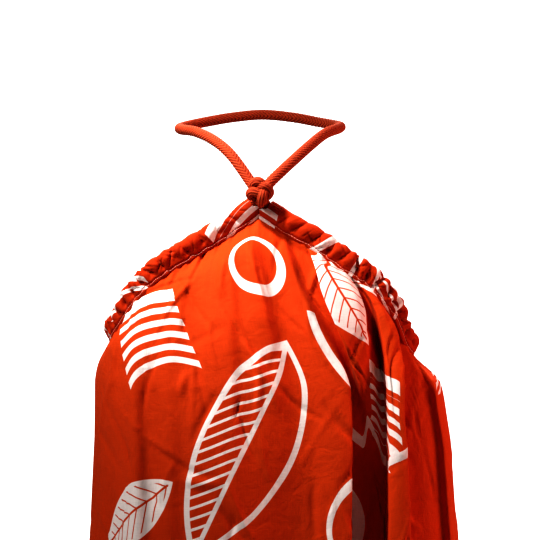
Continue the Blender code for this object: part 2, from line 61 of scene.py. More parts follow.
# Cloth under the casings: how far its edge lies inside them, and how soon form, folds and pleats take over
PANEL_LAP = 0.0006
SETTLE = 0.019
FOLD_START = 0.020
PLEAT_START = 0.013
PLEAT_RADIUS = 0.16
ROW_CROWDING = 1.25
SEAM_DIP = 0.0012
SEAM_WIDTH = 0.0022

# Short gathers under each pucker, as ranges: length down the cloth, width, and drift to the side
GATHER_REACH = (0.012, 0.055)
GATHER_WIDTH = (0.0026, 0.0046)
GATHER_DRIFT = (-0.10, 0.10)
GATHER_RADIUS = 0.155

# Small creases of the cloth: how many, spread of their direction, half length, width, and share of the height
CREASE_COUNT = 700
CREASE_TURN = 0.65
CREASE_HALF = (0.010, 0.060)
CREASE_WIDTH = (0.0024, 0.0062)
CREASE_RISE = (0.3, 1.0)
# Angle from the middle where they begin to fade toward the sides, over how wide an angle, and by what share
CREASE_FADE_FROM = 0.95
CREASE_FADE_OVER = 0.35
CREASE_FADE = 0.65

# Hem turned up inside: rows of cloth, its gap from the cloth before it, and the roundness of its lower edge
HEM_ROWS = 5
HEM_GAP = 0.0014
HEM_ROUND = 0.0004

# Casings: columns round the tube, spacing of the rows, depth of the stitching, flat cloth for each length of rope,
# and row of the print that lies at the top edge
CASING_SIDES = 64
CASING_STEP = 0.0007
SEWN_DROP = 0.0118
CASING_FULLNESS = 1.35
CASING_PRINT_ROW = 0.280
# Casing ends: lap past the notch's centre line, how far back the lower part is drawn out to it, and rows turned in
NOTCH_LAP = 0.0014
NOTCH_DRAW = 0.006
END_ROWS = 3
# Casing seams: how deep they draw the cloth in, and how far from them
SEAM_PINCH = 0.0011
SEAM_REACH = 0.0018
# Stitching: how deep it sinks the columns before, under and after it, with stitches of the usual length
SEWN_SINK = (0.0003, 0.0010, 0.0003)
USUAL_STITCH = 0.0028

# Creases of the casings, as ranges: place down the tube, slant, share of the pucker's height, width, length
LONG_CREASE = ((-0.001, 0.009), (-0.8, 0.8), (0.8, 1.7), (0.0010, 0.0022), (0.006, 0.011))
FINE_CREASE = ((-0.006, 0.012), (-1.6, 1.6), (-0.45, 0.80), (0.0008, 0.0018), (0.002, 0.007))
FINE_PITCH = 0.0036
FINE_SHIFT = 0.0015

# Rope: slant of the braid's ribs, slant of the knot's ribs, and how far the knot is drawn in round its heart
BRAID_TILT = math.radians(40)
STRAND_TILT = math.radians(9)
KNOT_HEART = np.array((-0.0020, -0.1560, -0.0930))
KNOT_DRAW = 0.90
KNOT_STRAND = 0.95
HIDDEN_ROPE_RADIUS = 0.0047
HIDDEN_RINGS = 420
# Thickness of the straps and the tails against the rope, and spacing of the rings along straps, knot and tails
STRAP_FULLNESS = 1.03
TAIL_FULLNESS = 0.94
STRAP_STEP = 0.00055
KNOT_STEP = 0.00045
TAIL_STEP = 0.0006
# Where the rope from each casing ends inside the knot
LEFT_TAIL_END = (-0.0035, -0.1530, -0.0950)
RIGHT_TAIL_END = (0.0, -0.1530, -0.0950)

# Stitches: gap between two, and for each row its lift from the cloth and the thickness of its thread
STITCH_GAP = 0.0003
# The seam row is dark thread in the seam's groove, standing in for its shadow line: painted shade
SEAM_ROW = (0.00012, 0.00034)
EDGE_ROW = (0.00016, 0.00026)

# Stage: half the floor's width, its height, the cone of the chest lamp, light from all round, and the camera's place
FLOOR_HALF = 1.9
FLOOR_Z = -1.30
CHEST_CONE = math.radians(24)
SURROUND_LIGHT = 0.022
EYE = (0.008, -1.78, -0.168)
FILM_WIDTH = 36.0
FOCAL_SHARE = 1650 / 540

# Hanging form: its half widths and depths by height
LEVELS = (
    # z, left half width, right half width, front depth, back depth
    (-0.095, 0.156, 0.156, 0.073, 0.085),
    (-0.160, 0.160, 0.160, 0.093, 0.100),
    (-0.215, 0.158, 0.157, 0.111, 0.106),
    (-0.245, 0.167, 0.161, 0.118, 0.108),
    (-0.280, 0.170, 0.182, 0.124, 0.110),
    (-0.340, 0.169, 0.192, 0.129, 0.112),
    (-0.450, 0.171, 0.199, 0.134, 0.116),
    (-0.700, 0.192, 0.233, 0.145, 0.130),
    (-1.200, 0.250, 0.285, 0.175, 0.165),
)

# Rope line through the casings, from the notch round the left, the back and the right
RUN = (
    # angle, z
    (-9.0, -0.1035), (-29.8, -0.1250), (-41.2, -0.1397), (-53.7, -0.1602), (-60.5, -0.1760), (-66.0, -0.1930),
    (-72.0, -0.2100), (-80.0, -0.2220), (-90.0, -0.2280), (-110.0, -0.2300), (-135.0, -0.2330), (-160.0, -0.2350),
    (-180.0, -0.2360), (-200.0, -0.2370), (-225.0, -0.2385), (-250.0, -0.2400), (-270.0, -0.2410), (-281.0, -0.2395),
    (-287.5, -0.2320), (-290.0, -0.2190), (-292.6, -0.2060), (-297.0, -0.1930), (-302.5, -0.1745), (-311.0, -0.1572),
    (-325.0, -0.1332), (-337.8, -0.1207), (-354.0, -0.1060),
)
# Stations of the rope line at the side seams
LEFT_SEAM_ROW = 8
RIGHT_SEAM_ROW = 16

# Puckers of each casing: place from 0 to 1, height, lean of the crest from the top edge to the stitching
PUCKERS_LEFT = (
    # place, height, lean
    (0.06, 0.0010, 0.3), (0.15, 0.0014, 0.2), (0.22, 0.0012, 0.4), (0.30, 0.0020, 0.1), (0.37, 0.0018, -0.2),
    (0.43, 0.0024, 0.3), (0.49, 0.0020, 0.0), (0.55, 0.0022, -0.3), (0.61, 0.0026, 0.2), (0.67, 0.0020, 0.1),
    (0.73, 0.0026, -0.2), (0.79, 0.0022, 0.3), (0.85, 0.0020, 0.0), (0.91, 0.0024, -0.3), (0.96, 0.0018, 0.2),
)
PUCKERS_RIGHT = (
    # place, height, lean
    (0.04, 0.0018, 0.2), (0.09, 0.0022, -0.2), (0.14, 0.0018, 0.3), (0.19, 0.0026, 0.0), (0.24, 0.0024, 0.4),
    (0.29, 0.0022, -0.3), (0.34, 0.0030, 0.2), (0.39, 0.0024, -0.1), (0.44, 0.0030, 0.3), (0.50, 0.0026, 0.0),
    (0.55, 0.0022, -0.3), (0.61, 0.0028, 0.2), (0.67, 0.0020, 0.5), (0.73, 0.0030, 0.3), (0.81, 0.0016, 0.6),
    (0.89, 0.0010, 0.3), (0.95, 0.0008, 0.2),
)
PUCKERS_BACK = (
    # place, height, lean
    (0.03, 0.0020, 0.1), (0.08, 0.0018, -0.2), (0.13, 0.0024, 0.2), (0.19, 0.0019, 0.0), (0.24, 0.0022, -0.3),
    (0.30, 0.0017, 0.2), (0.36, 0.0022, 0.1), (0.41, 0.0019, -0.2), (0.47, 0.0024, 0.3), (0.52, 0.0018, 0.0),
    (0.58, 0.0022, -0.1), (0.64, 0.0019, 0.2), (0.69, 0.0024, -0.3), (0.75, 0.0018, 0.1), (0.81, 0.0022, 0.2),
    (0.87, 0.0020, -0.2), (0.92, 0.0024, 0.0), (0.97, 0.0020, 0.1),
)

# Outline of a casing round the rope
SECTION = (
    # outward, down, share of a pucker
    (0.0000, -0.0080, 0.8), (0.0060, -0.0052, 1.0), (0.0076, 0.0010, 1.3), (0.0050, 0.0072, 1.5),
    (0.0020, 0.0142, 0.3), (-0.0010, 0.0140, 0.2), (-0.0066, 0.0040, 0.3), (-0.0062, -0.0045, 0.5),
)

# Folds. Each station: z, angle, height, width to the left, width to the right, how far the crest leans to the right
FOLDS = {
    "left_crease": (
        (-0.21, -54.0, 0.0000, 0.012, 0.012, 0.0), (-0.27, -51.0, 0.0050, 0.010, 0.007, 0.002),
        (-0.38, -47.6, 0.0085, 0.014, 0.007, 0.003), (-0.70, -46.0, 0.0130, 0.024, 0.018, 0.004),
        (-1.20, -44.0, 0.0220, 0.036, 0.034, 0.006)),
    "left_ripple": (
        (-0.26, -38.0, 0.0000, 0.010, 0.008, 0.0), (-0.34, -36.5, 0.0030, 0.012, 0.007, 0.001),
        (-0.46, -36.0, 0.0042, 0.016, 0.009, 0.002), (-0.80, -35.0, 0.0070, 0.022, 0.016, 0.002),
        (-1.20, -34.0, 0.0000, 0.030, 0.030, 0.0)),
    "left_side": (
        (-0.25, -80.0, 0.0000, 0.016, 0.016, 0.0), (-0.34, -79.0, 0.0030, 0.018, 0.018, 0.0),
        (-0.70, -77.0, 0.0130, 0.028, 0.028, 0.004), (-1.20, -75.0, 0.0240, 0.040, 0.040, 0.006)),
    "left_recess": (
        (-0.30, -62.0, 0.0000, 0.012, 0.012, 0.0), (-0.40, -62.0, -0.0025, 0.014, 0.014, 0.0),
        (-0.70, -61.5, -0.0090, 0.022, 0.022, 0.0), (-1.20, -60.0, -0.0220, 0.032, 0.032, 0.0)),
    "left_hollow": (
        (-0.13, -31.0, 0.0000, 0.012, 0.012, 0.0), (-0.19, -33.0, -0.0035, 0.014, 0.014, 0.0),
        (-0.26, -34.0, -0.0035, 0.016, 0.016, 0.0), (-0.40, -34.0, -0.0010, 0.022, 0.022, 0.0),
        (-1.20, -28.0, -0.0120, 0.040, 0.040, 0.0)),
    "left_gather": (
        (-0.15, -47.0, 0.0000, 0.008, 0.008, 0.0), (-0.18, -47.0, -0.0030, 0.007, 0.007, 0.0),
        (-0.25, -45.0, -0.0018, 0.010, 0.010, 0.0), (-0.32, -44.0, 0.0000, 0.012, 0.012, 0.0)),
    "centre_hollow": (
        (-0.13, 6.0, 0.0000, 0.014, 0.014, 0.0), (-0.18, 10.0, -0.0036, 0.014, 0.014, 0.0),
        (-0.31, 15.0, -0.0060, 0.026, 0.022, 0.0), (-0.45, 15.0, -0.0090, 0.036, 0.026, 0.0),
        (-0.70, 12.0, -0.0110, 0.038, 0.032, 0.0), (-1.20, 9.0, -0.0180, 0.044, 0.042, 0.0)),
    "chest_band": (
        (-0.120, -10.0, 0.0000, 0.018, 0.007, 0.0), (-0.140, -8.6, 0.0046, 0.022, 0.007, 0.001),
        (-0.162, -3.6, 0.0070, 0.024, 0.007, 0.001), (-0.196, -0.4, 0.0078, 0.026, 0.008, 0.001),
        (-0.218, 1.4, 0.0078, 0.028, 0.009, 0.001), (-0.240, 4.2, 0.0064, 0.030, 0.010, 0.0),
        (-0.310, 8.0, 0.0024, 0.030, 0.013, 0.0), (-0.420, 10.0, 0.0000, 0.030, 0.016, 0.0)),
    "chest_pleat": (
        (-0.120, -20.0, 0.0000, 0.012, 0.006, 0.0), (-0.150, -19.0, 0.0036, 0.016, 0.006, 0.0),
        (-0.230, -15.0, 0.0052, 0.020, 0.007, 0.0), (-0.330, -12.0, 0.0040, 0.026, 0.009, 0.0),
        (-0.430, -11.0, 0.0012, 0.030, 0.016, 0.0), (-0.520, -10.0, 0.0000, 0.030, 0.024, 0.0)),
    "centre_ridge": (
        (-0.40, -9.0, 0.0000, 0.030, 0.030, 0.0), (-0.70, -9.0, 0.0060, 0.034, 0.034, 0.0),
        (-1.20, -10.0, 0.0180, 0.044, 0.044, 0.004)),
    "right_side": (
        (-0.290, 92.0, 0.0000, 0.014, 0.014, 0.0), (-0.400, 92.0, 0.0030, 0.018, 0.018, 0.0),
        (-0.700, 93.0, 0.0120, 0.028, 0.028, 0.0), (-1.200, 94.0, 0.0220, 0.040, 0.040, 0.0)),
    "back_1": (
        (-0.270, 109.0, 0.0000, 0.010, 0.010, 0.0), (-0.330, 109.0, -0.0060, 0.014, 0.014, 0.0),
        (-0.700, 109.0, -0.0140, 0.026, 0.026, 0.0), (-1.200, 109.0, -0.0240, 0.038, 0.038, 0.0)),
    "back_2": (
        (-0.260, 126.0, 0.0000, 0.008, 0.010, 0.0), (-0.310, 126.0, 0.0080, 0.010, 0.014, 0.003),
        (-0.700, 125.0, 0.0150, 0.022, 0.028, 0.005), (-1.200, 124.0, 0.0240, 0.036, 0.040, 0.006)),
    "back_3": (
        (-0.260, 143.0, 0.0000, 0.010, 0.010, 0.0), (-0.330, 143.0, -0.0090, 0.014, 0.012, 0.0),
        (-0.700, 142.0, -0.0160, 0.026, 0.022, 0.0), (-1.200, 141.0, -0.0240, 0.036, 0.034, 0.0)),
    "back_4": (
        (-0.258, 160.0, 0.0000, 0.008, 0.010, 0.0), (-0.320, 159.0, 0.0065, 0.012, 0.016, -0.003),
        (-0.700, 158.0, 0.0140, 0.024, 0.030, -0.005), (-1.200, 157.0, 0.0240, 0.038, 0.042, -0.006)),
    "back_5": (
        (-0.260, 181.0, 0.0000, 0.012, 0.010, 0.0), (-0.330, 180.0, -0.0080, 0.016, 0.014, 0.0),
        (-0.700, 179.0, -0.0160, 0.030, 0.026, 0.0), (-1.200, 178.0, -0.0260, 0.042, 0.038, 0.0)),
    "back_6": (
        (-0.258, 198.0, 0.0000, 0.008, 0.008, 0.0), (-0.310, 198.0, 0.0090, 0.010, 0.010, 0.003),
        (-0.700, 198.0, 0.0160, 0.022, 0.024, 0.005), (-1.200, 198.0, 0.0250, 0.034, 0.038, 0.006)),
    "back_7": (
        (-0.260, 216.0, 0.0000, 0.010, 0.012, 0.0), (-0.330, 216.0, -0.0065, 0.014, 0.016, 0.0),
        (-0.700, 217.0, -0.0140, 0.026, 0.028, 0.0), (-1.200, 218.0, -0.0230, 0.038, 0.040, 0.0)),
    "back_8": (
        (-0.252, 235.0, 0.0000, 0.008, 0.008, 0.0), (-0.320, 235.0, 0.0065, 0.012, 0.012, -0.002),
        (-0.700, 236.0, 0.0140, 0.026, 0.024, -0.004), (-1.200, 237.0, 0.0230, 0.040, 0.038, -0.005)),
    "back_9": (
        (-0.255, 253.0, 0.0000, 0.010, 0.010, 0.0), (-0.330, 253.0, -0.0050, 0.014, 0.014, 0.0),
        (-0.700, 254.0, -0.0110, 0.026, 0.026, 0.0), (-1.200, 255.0, -0.0200, 0.038, 0.038, 0.0)),
}

# Pleats on the right of the front, from left to right. Each station: z, angle, how far forward, how far to the right
PLEATS = (
    ("side", ((-0.10, -90.0, 0.0, 0.0), (-1.20, -90.0, 0.0, 0.0))),
    ("centre", (
        (-0.139, 6.0, 0.0, 0.0), (-0.205, 11.0, 0.0, 0.0), (-0.273, 20.0, 0.0, 0.0), (-0.425, 20.0, 0.0, 0.0),
        (-0.700, 18.0, 0.0, 0.0), (-1.200, 14.0, 0.0, 0.0))),
    ("panel", (
        (-0.139, 14.7, 0.0000, 0.0), (-0.160, 16.5, 0.0000, 0.0), (-0.183, 19.5, 0.0000, 0.0),
        (-0.205, 22.9, 0.0000, 0.0), (-0.227, 26.9, 0.0000, 0.0), (-0.245, 32.1, 0.0010, 0.0),
        (-0.273, 35.9, 0.0050, 0.0), (-0.307, 36.1, 0.0070, 0.0), (-0.349, 35.2, 0.0080, 0.0),
        (-0.425, 34.1, 0.0090, 0.0), (-0.700, 31.5, 0.0120, 0.0), (-1.200, 28.5, 0.0200, 0.0))),
    ("lee", (
        (-0.139, 19.6, -0.0040, 0.0), (-0.160, 22.1, -0.0090, 0.0), (-0.183, 24.5, -0.0105, 0.0),
        (-0.205, 28.0, -0.0120, 0.0), (-0.227, 31.7, -0.0125, 0.0), (-0.246, 34.7, -0.0130, 0.0),
        (-0.274, 37.5, -0.0180, -0.003), (-0.310, 37.0, -0.0280, -0.006), (-0.354, 36.2, -0.0340, -0.006),
        (-0.432, 35.1, -0.0360, -0.006), (-0.700, 33.0, -0.0300, -0.004), (-1.200, 31.5, -0.0220, 0.0))),
    ("foot_a", (
        (-0.139, 29.4, -0.0020, 0.001), (-0.160, 29.7, -0.0070, 0.001), (-0.183, 29.5, -0.0100, 0.001),
        (-0.205, 31.9, -0.0125, 0.001), (-0.227, 34.6, -0.0135, 0.001), (-0.246, 36.7, -0.0145, 0.001),
        (-0.274, 37.9, -0.0190, 0.0), (-0.310, 39.3, -0.0320, 0.0), (-0.355, 39.6, -0.0400, 0.0),
        (-0.433, 39.0, -0.0420, 0.0), (-0.700, 37.0, -0.0340, 0.0), (-1.200, 36.0, -0.0300, 0.0))),
    ("crest_a", (
        (-0.139, 32.1, 0.0035, 0.0), (-0.160, 31.6, 0.0105, -0.002), (-0.183, 30.9, 0.0140, -0.003),
        (-0.205, 33.0, 0.0150, -0.003), (-0.227, 35.5, 0.0150, -0.003), (-0.245, 37.6, 0.0130, -0.002),
        (-0.273, 39.2, 0.0030, 0.0), (-0.310, 42.1, -0.0280, 0.0), (-0.355, 42.3, -0.0400, 0.0),
        (-0.434, 41.7, -0.0420, 0.0), (-0.700, 40.0, -0.0360, 0.0), (-1.200, 39.0, -0.0320, 0.0))),
    ("slope_a", (
        (-0.139, 38.9, 0.0030, 0.0), (-0.160, 43.2, 0.0075, 0.0), (-0.183, 43.8, 0.0115, 0.0),
        (-0.205, 43.8, 0.0130, 0.0), (-0.227, 44.5, 0.0120, 0.0), (-0.246, 44.8, 0.0070, 0.0),
        (-0.274, 43.6, -0.0060, 0.0), (-0.310, 44.8, -0.0280, 0.0), (-0.355, 45.0, -0.0370, 0.0),
        (-0.434, 43.9, -0.0390, 0.0), (-0.700, 42.3, -0.0330, 0.0), (-1.200, 41.5, -0.0290, 0.0))),
    ("valley_b", (
        (-0.138, 45.6, 0.0000, 0.0), (-0.160, 47.9, -0.0030, 0.0), (-0.183, 50.0, -0.0090, 0.0),
        (-0.205, 50.2, -0.0130, 0.0), (-0.228, 50.3, -0.0160, 0.0), (-0.247, 50.3, -0.0190, 0.0),
        (-0.275, 48.4, -0.0240, 0.0), (-0.311, 47.6, -0.0300, 0.001), (-0.355, 46.6, -0.0340, 0.002),
        (-0.433, 45.3, -0.0360, 0.002), (-0.700, 44.3, -0.0300, 0.0), (-1.200, 43.5, -0.0250, 0.0))),
    ("left_b", (
        (-0.138, 47.7, 0.0010, 0.0), (-0.160, 49.4, 0.0030, 0.0), (-0.183, 51.1, 0.0060, 0.0),
        (-0.205, 51.6, 0.0090, 0.0), (-0.227, 51.8, 0.0100, 0.0), (-0.246, 52.0, 0.0110, 0.0),
        (-0.273, 49.7, 0.0110, 0.0), (-0.307, 48.6, 0.0100, 0.0), (-0.350, 47.5, 0.0100, 0.0),
        (-0.426, 46.3, 0.0110, 0.0), (-0.700, 45.3, 0.0120, 0.0), (-1.200, 45.5, 0.0140, 0.0))),
    ("edge_b", (
        (-0.138, 51.7, 0.0020, 0.0), (-0.160, 54.1, 0.0040, 0.0), (-0.183, 56.1, 0.0070, 0.0),
        (-0.205, 58.2, 0.0160, 0.0), (-0.228, 59.8, 0.0200, 0.0), (-0.246, 59.7, 0.0220, 0.0),
        (-0.273, 55.5, 0.0230, 0.0), (-0.308, 53.7, 0.0230, 0.0), (-0.351, 53.5, 0.0230, 0.0),
        (-0.427, 53.1, 0.0230, 0.0), (-0.700, 51.5, 0.0210, 0.0), (-1.200, 50.5, 0.0200, 0.0))),
    ("recess", (
        (-0.138, 53.8, 0.0000, 0.0), (-0.160, 56.3, -0.0020, 0.0), (-0.183, 58.2, -0.0050, -0.002),
        (-0.206, 60.4, -0.0100, -0.004), (-0.229, 62.5, -0.0130, -0.005), (-0.248, 62.0, -0.0150, -0.006),
        (-0.275, 56.9, -0.0160, -0.006), (-0.310, 55.2, -0.0160, -0.006), (-0.354, 54.8, -0.0170, -0.006),
        (-0.432, 54.4, -0.0180, -0.006), (-0.700, 53.3, -0.0180, -0.004), (-1.200, 53.5, -0.0150, 0.0))),
    ("floor_c", (
        (-0.138, 56.5, 0.0000, 0.0), (-0.160, 59.1, -0.0010, 0.0), (-0.183, 60.8, -0.0030, 0.0),
        (-0.206, 64.3, -0.0070, 0.0), (-0.229, 67.2, -0.0090, 0.0), (-0.248, 67.2, -0.0100, 0.0),
        (-0.276, 62.6, -0.0110, 0.0), (-0.311, 60.8, -0.0110, 0.0), (-0.355, 61.3, -0.0120, 0.0),
        (-0.434, 61.1, -0.0130, 0.0), (-0.700, 60.0, -0.0130, 0.0), (-1.200, 60.0, -0.0120, 0.0))),
    ("foot_c", (
        (-0.138, 59.7, 0.0000, 0.0), (-0.183, 63.7, 0.0000, 0.0), (-0.206, 68.3, -0.0030, 0.0),
        (-0.229, 71.9, -0.0050, 0.0), (-0.248, 71.7, -0.0060, 0.0), (-0.276, 65.7, -0.0070, 0.0),
        (-0.312, 66.0, -0.0070, 0.0), (-0.356, 66.5, -0.0080, 0.0), (-0.435, 67.2, -0.0080, 0.0),
        (-0.700, 66.5, -0.0080, 0.0), (-1.200, 66.0, -0.0060, 0.0))),
    ("edge_c", (
        (-0.138, 63.0, 0.0000, 0.0), (-0.183, 68.5, 0.0000, 0.0), (-0.206, 72.9, 0.0020, 0.0),
        (-0.230, 77.0, 0.0030, 0.001), (-0.249, 77.5, 0.0040, 0.002), (-0.276, 69.2, 0.0050, 0.002),
        (-0.312, 70.0, 0.0050, 0.002), (-0.357, 70.5, 0.0050, 0.002), (-0.436, 70.8, 0.0050, 0.002),
        (-0.700, 70.5, 0.0060, 0.0), (-1.200, 70.5, 0.0080, 0.0))),
    ("far_side", ((-0.10, 90.0, 0.0, 0.0), (-1.20, 90.0, 0.0, 0.0))),
)
PLEAT_COLUMNS = (120, 16, 6, 8, 7, 12, 9, 7, 13, 6, 9, 8, 7, 14)
# The back has no pleats, so its two lines are the side seams
BACK_LINES = (
    ("right", ((-0.10, 90.0, 0.0, 0.0), (-1.20, 90.0, 0.0, 0.0))),
    ("left", ((-0.10, 270.0, 0.0, 0.0), (-1.20, 270.0, 0.0, 0.0))),
)
BACK_COLUMNS = (216,)

# Rope of the straps, from the knot up the left, round the loop and down the right
STRAPS = (
    # x, y, z
    (-0.0060, -0.1530, -0.0890), (-0.0105, -0.1500, -0.0820), (-0.0299, -0.1370, -0.0545),
    (-0.0476, -0.1150, -0.0378), (-0.0680, -0.0870, -0.0262), (-0.0850, -0.0560, -0.0210),
    (-0.0840, -0.0270, -0.0160), (-0.0620, -0.0060, -0.0090), (-0.0320, 0.0030, -0.0030), (0.0000, 0.0050, 0.0000),
    (0.0320, 0.0030, -0.0030), (0.0600, -0.0060, -0.0090), (0.0800, -0.0290, -0.0150), (0.0800, -0.0590, -0.0200),
    (0.0643, -0.0920, -0.0285), (0.0483, -0.1180, -0.0425), (0.0279, -0.1390, -0.0620), (0.0105, -0.1500, -0.0790),
    (0.0040, -0.1530, -0.0870),
)

# Visible bends of the knot, and the hidden turn behind them that closes it
KNOT_BENDS = (
    # x, y, z, radius
    ((-0.0100, -0.1560, -0.0870, 0.0044), (-0.0085, -0.1600, -0.0815, 0.0050), (-0.0035, -0.1625, -0.0800, 0.0050),
     (0.0005, -0.1610, -0.0835, 0.0048), (0.0005, -0.1570, -0.0890, 0.0042)),
    ((-0.0040, -0.1580, -0.0850, 0.0042), (0.0015, -0.1640, -0.0850, 0.0048), (0.0065, -0.1620, -0.0875, 0.0050),
     (0.0085, -0.1580, -0.0920, 0.0048), (0.0060, -0.1545, -0.0970, 0.0040)),
    ((-0.0110, -0.1545, -0.0975, 0.0040), (-0.0125, -0.1590, -0.0930, 0.0048), (-0.0090, -0.1635, -0.0910, 0.0050),
     (-0.0030, -0.1640, -0.0930, 0.0048), (0.0010, -0.1590, -0.0950, 0.0042)),
    ((0.0010, -0.1590, -0.0900, 0.0046), (0.0008, -0.1655, -0.0935, 0.0052), (0.0002, -0.1645, -0.0990, 0.0052),
     (-0.0008, -0.1590, -0.1035, 0.0044), (-0.0012, -0.1535, -0.1050, 0.0034)),
    ((-0.0090, -0.1530, -0.0990, 0.0046), (-0.0065, -0.1540, -0.0930, 0.0050), (-0.0010, -0.1550, -0.0900, 0.0052),
     (0.0040, -0.1540, -0.0930, 0.0050), (0.0050, -0.1530, -0.0990, 0.0044)),
)

# Print, in metres of flat cloth: width and drop of the repeat, row where it begins, and its motifs by kind,
# along, down, turn, half length, half width, line
PRINT_WIDTH = 0.46
PRINT_DROP = 0.60
PRINT_TOP = 0.095
PRINT = (
    ("veined_leaf", -0.046, 0.350, 28.0, 0.118, 0.050, 0.0060),
    ("solid_leaf", 0.106, 0.200, -36.0, 0.068, 0.030, 0.0016),
    ("crescent", -0.008, 0.172, 62.0, 0.032, 0.0120, 0.0040),
    ("arcs", -0.132, 0.240, -14.0, 0.040, 0.028, 0.0125),
    ("arcs", 0.172, 0.322, 16.0, 0.042, 0.030, 0.0130),
    ("band", 0.182, 0.228, 196.0, 0.138, 0.0, 0.0095),
    ("crescent", 0.080, 0.432, -35.0, 0.046, 0.0150, 0.0050),
    ("veined_leaf", 0.130, 0.572, -24.0, 0.110, 0.048, 0.0070),
    ("solid_leaf", -0.172, 0.412, 58.0, 0.060, 0.027, 0.0016),
    ("arcs", -0.098, 0.560, -8.0, 0.046, 0.034, 0.0130),
    ("crescent", 0.004, 0.622, 120.0, 0.036, 0.0120, 0.0045),
)

# Casings from the notch round to the notch: piece, node, puckers, seed, end at the notch, place in the print
CASINGS = (
    ("gathers_left", "casing_left", PUCKERS_LEFT, 3, 0, 0.15),
    ("gathers_back", "casing_back", PUCKERS_BACK, 5, None, 0.37),
    ("gathers_right", "casing_right", PUCKERS_RIGHT, 9, -1, 0.74),
)

WHITE = (1.0, 1.0, 1.0)
LIGHTS = (
    # name, kind, place, target, power, size, colour
    ("key", "AREA", (-0.84, -0.76, 0.50), (0.0, -0.12, -0.38), 6.6, 0.26, WHITE),
    ("chest", "SPOT", (-0.46, -0.50, 0.70), (-0.02, -0.12, -0.15), 56, 0.05, WHITE),
    ("front", "AREA", (0.15, -2.4, 0.5), (0.0, -0.1, -0.3), 0.6, 0.6, WHITE),
    ("side", "AREA", (1.05, -0.35, 0.0), (0.15, -0.05, -0.38), 6.0, 0.5, (1.0, 0.55, 0.50)),
    ("back", "AREA", (0.0, 2.4, 2.2), (0.0, 0.1, -1.0), 110, 2.0, WHITE),
)


class DressSizes(bpy.types.PropertyGroup):
    """Sizes that a maker would change."""

    hem_z: FloatProperty(
        name="Hem height", description="Height of the hem under the nape", default=-1.195, unit="LENGTH")
    rope_radius: FloatProperty(
        name="Rope radius", description="Half the thickness of the halter rope", default=0.0052, unit="LENGTH")
    rib_pitch: FloatProperty(
        name="Rope rib pitch", description="Width of one rib of the braid", default=0.0026, unit="LENGTH")
    pucker: FloatProperty(
        name="Pucker height", description="Multiplies the height of every pucker", default=1.0, subtype="FACTOR")
    crumple: FloatProperty(
        name="Crumple height", description="Height of the small creases in the cloth", default=0.0040, unit="LENGTH")
    stitch: FloatProperty(
        name="Stitch length", description="Length of one stitch", default=0.0028, unit="LENGTH")
    hem_turn: FloatProperty(
        name="Hem turn-up", description="Height of the cloth turned up inside the hem", default=0.018, unit="LENGTH")
    rows: IntProperty(
        name="Rows", description="Rows of cloth down each panel", default=236)


class DressColours(bpy.types.PropertyGroup):
    """Colours of cloth, print, rope, thread and floor."""

    cloth: FloatVectorProperty(
        name="Cloth", description="Ground colour of the voile", subtype="COLOR", size=3,
        default=(0.60, 0.070, 0.0095))
    print_ink: FloatVectorProperty(
        name="Print", description="Colour of the print", subtype="COLOR", size=3,
        default=(0.90, 0.80, 0.75))
    rope: FloatVectorProperty(
        name="Rope", description="Colour of the rope", subtype="COLOR", size=3,
        default=(0.50, 0.086, 0.030))
    # The dark thread colour stands in for the shadow line along the casing seams: painted shade
    thread: FloatVectorProperty(
        name="Thread", description="Colour of the sewing thread", subtype="COLOR", size=3,
        default=(0.34, 0.016, 0.014))
    edge_thread: FloatVectorProperty(
        name="Edge thread", description="Colour of the pale row of stitches under the seam", subtype="COLOR", size=3,
        default=(0.80, 0.42, 0.36))
    stage: FloatVectorProperty(
        name="Floor", description="Colour of the floor", subtype="COLOR", size=3,
        default=(0.88, 0.88, 0.88))


def unit(v):
    """Vectors brought to a length of one."""
    return v / np.linalg.norm(v, axis=-1, keepdims=True)


def wrapped(angle):
    """The same angle between minus half a turn and half a turn."""
    return (angle + np.pi) % (2 * np.pi) - np.pi


def smooth_step(share):
    """Ease from zero to one: three times the square less twice the cube."""
    t = np.clip(share, 0, 1)
    return t * t * (3 - 2 * t)


def travelled(points):
    """Distance along a line of points, from its start to each point."""
    return np.concatenate([[0], np.cumsum(np.linalg.norm(np.diff(points, axis=0), axis=1))])


def between_points(a, b, c, d, u):
    """Catmull-Rom curve from b to c, with a before them and d after them, at shares u of the way."""
    return 0.5 * (2 * b + (c - a) * u + (2 * a - 5 * b + 4 * c - d) * u ** 2 + (3 * b - a - 3 * c + d) * u ** 3)


def level(z, column):
    """Half width or depth of the hanging form at heights z, read from the levels table."""
    table = np.array(LEVELS)
    return np.interp(-z, -table[:, 0], table[:, column])


def form(angle, z, inset=0.0):
    """Rounded oval that the cloth hangs on: |x/a| and |y/b| to the power of the roundness add up to one.

    Gives the point, its outward direction and its distance from the middle.
    """
    a = np.where(np.sin(angle) < 0, level(z, 1), level(z, 2)) - inset
    b = np.where(np.cos(angle) > 0, level(z, 3), level(z, 4)) - inset
    s, c = np.abs(np.sin(angle)), np.abs(np.cos(angle))
    r = ((s / a) ** ROUNDNESS + (c / b) ** ROUNDNESS) ** (-1 / ROUNDNESS)
    point = np.stack([r * np.sin(angle), CENTRE_Y - r * np.cos(angle), z + 0 * r], axis=-1)
    nx = np.sign(np.sin(angle)) * (s * r / a) ** (ROUNDNESS - 1) / a
    ny = -np.sign(np.cos(angle)) * (c * r / b) ** (ROUNDNESS - 1) / b
    size = np.hypot(nx, ny)
    return point, np.stack([nx / size, ny / size, 0 * r], axis=-1), r


def eased(table, column, z):
    """Values of a column of stations at heights z, evened out by a bell curve of 8 mm."""
    fine = np.linspace(-0.08, -1.20, 1121)
    kernel = np.exp(-0.5 * (np.arange(-24, 25) / 8.0) ** 2)
    values = np.interp(-fine, -table[:, 0], table[:, column])
    values = np.convolve(np.pad(values, 24, mode="edge"), kernel / kernel.sum(), mode="valid")
    return np.interp(-z, -fine, values)


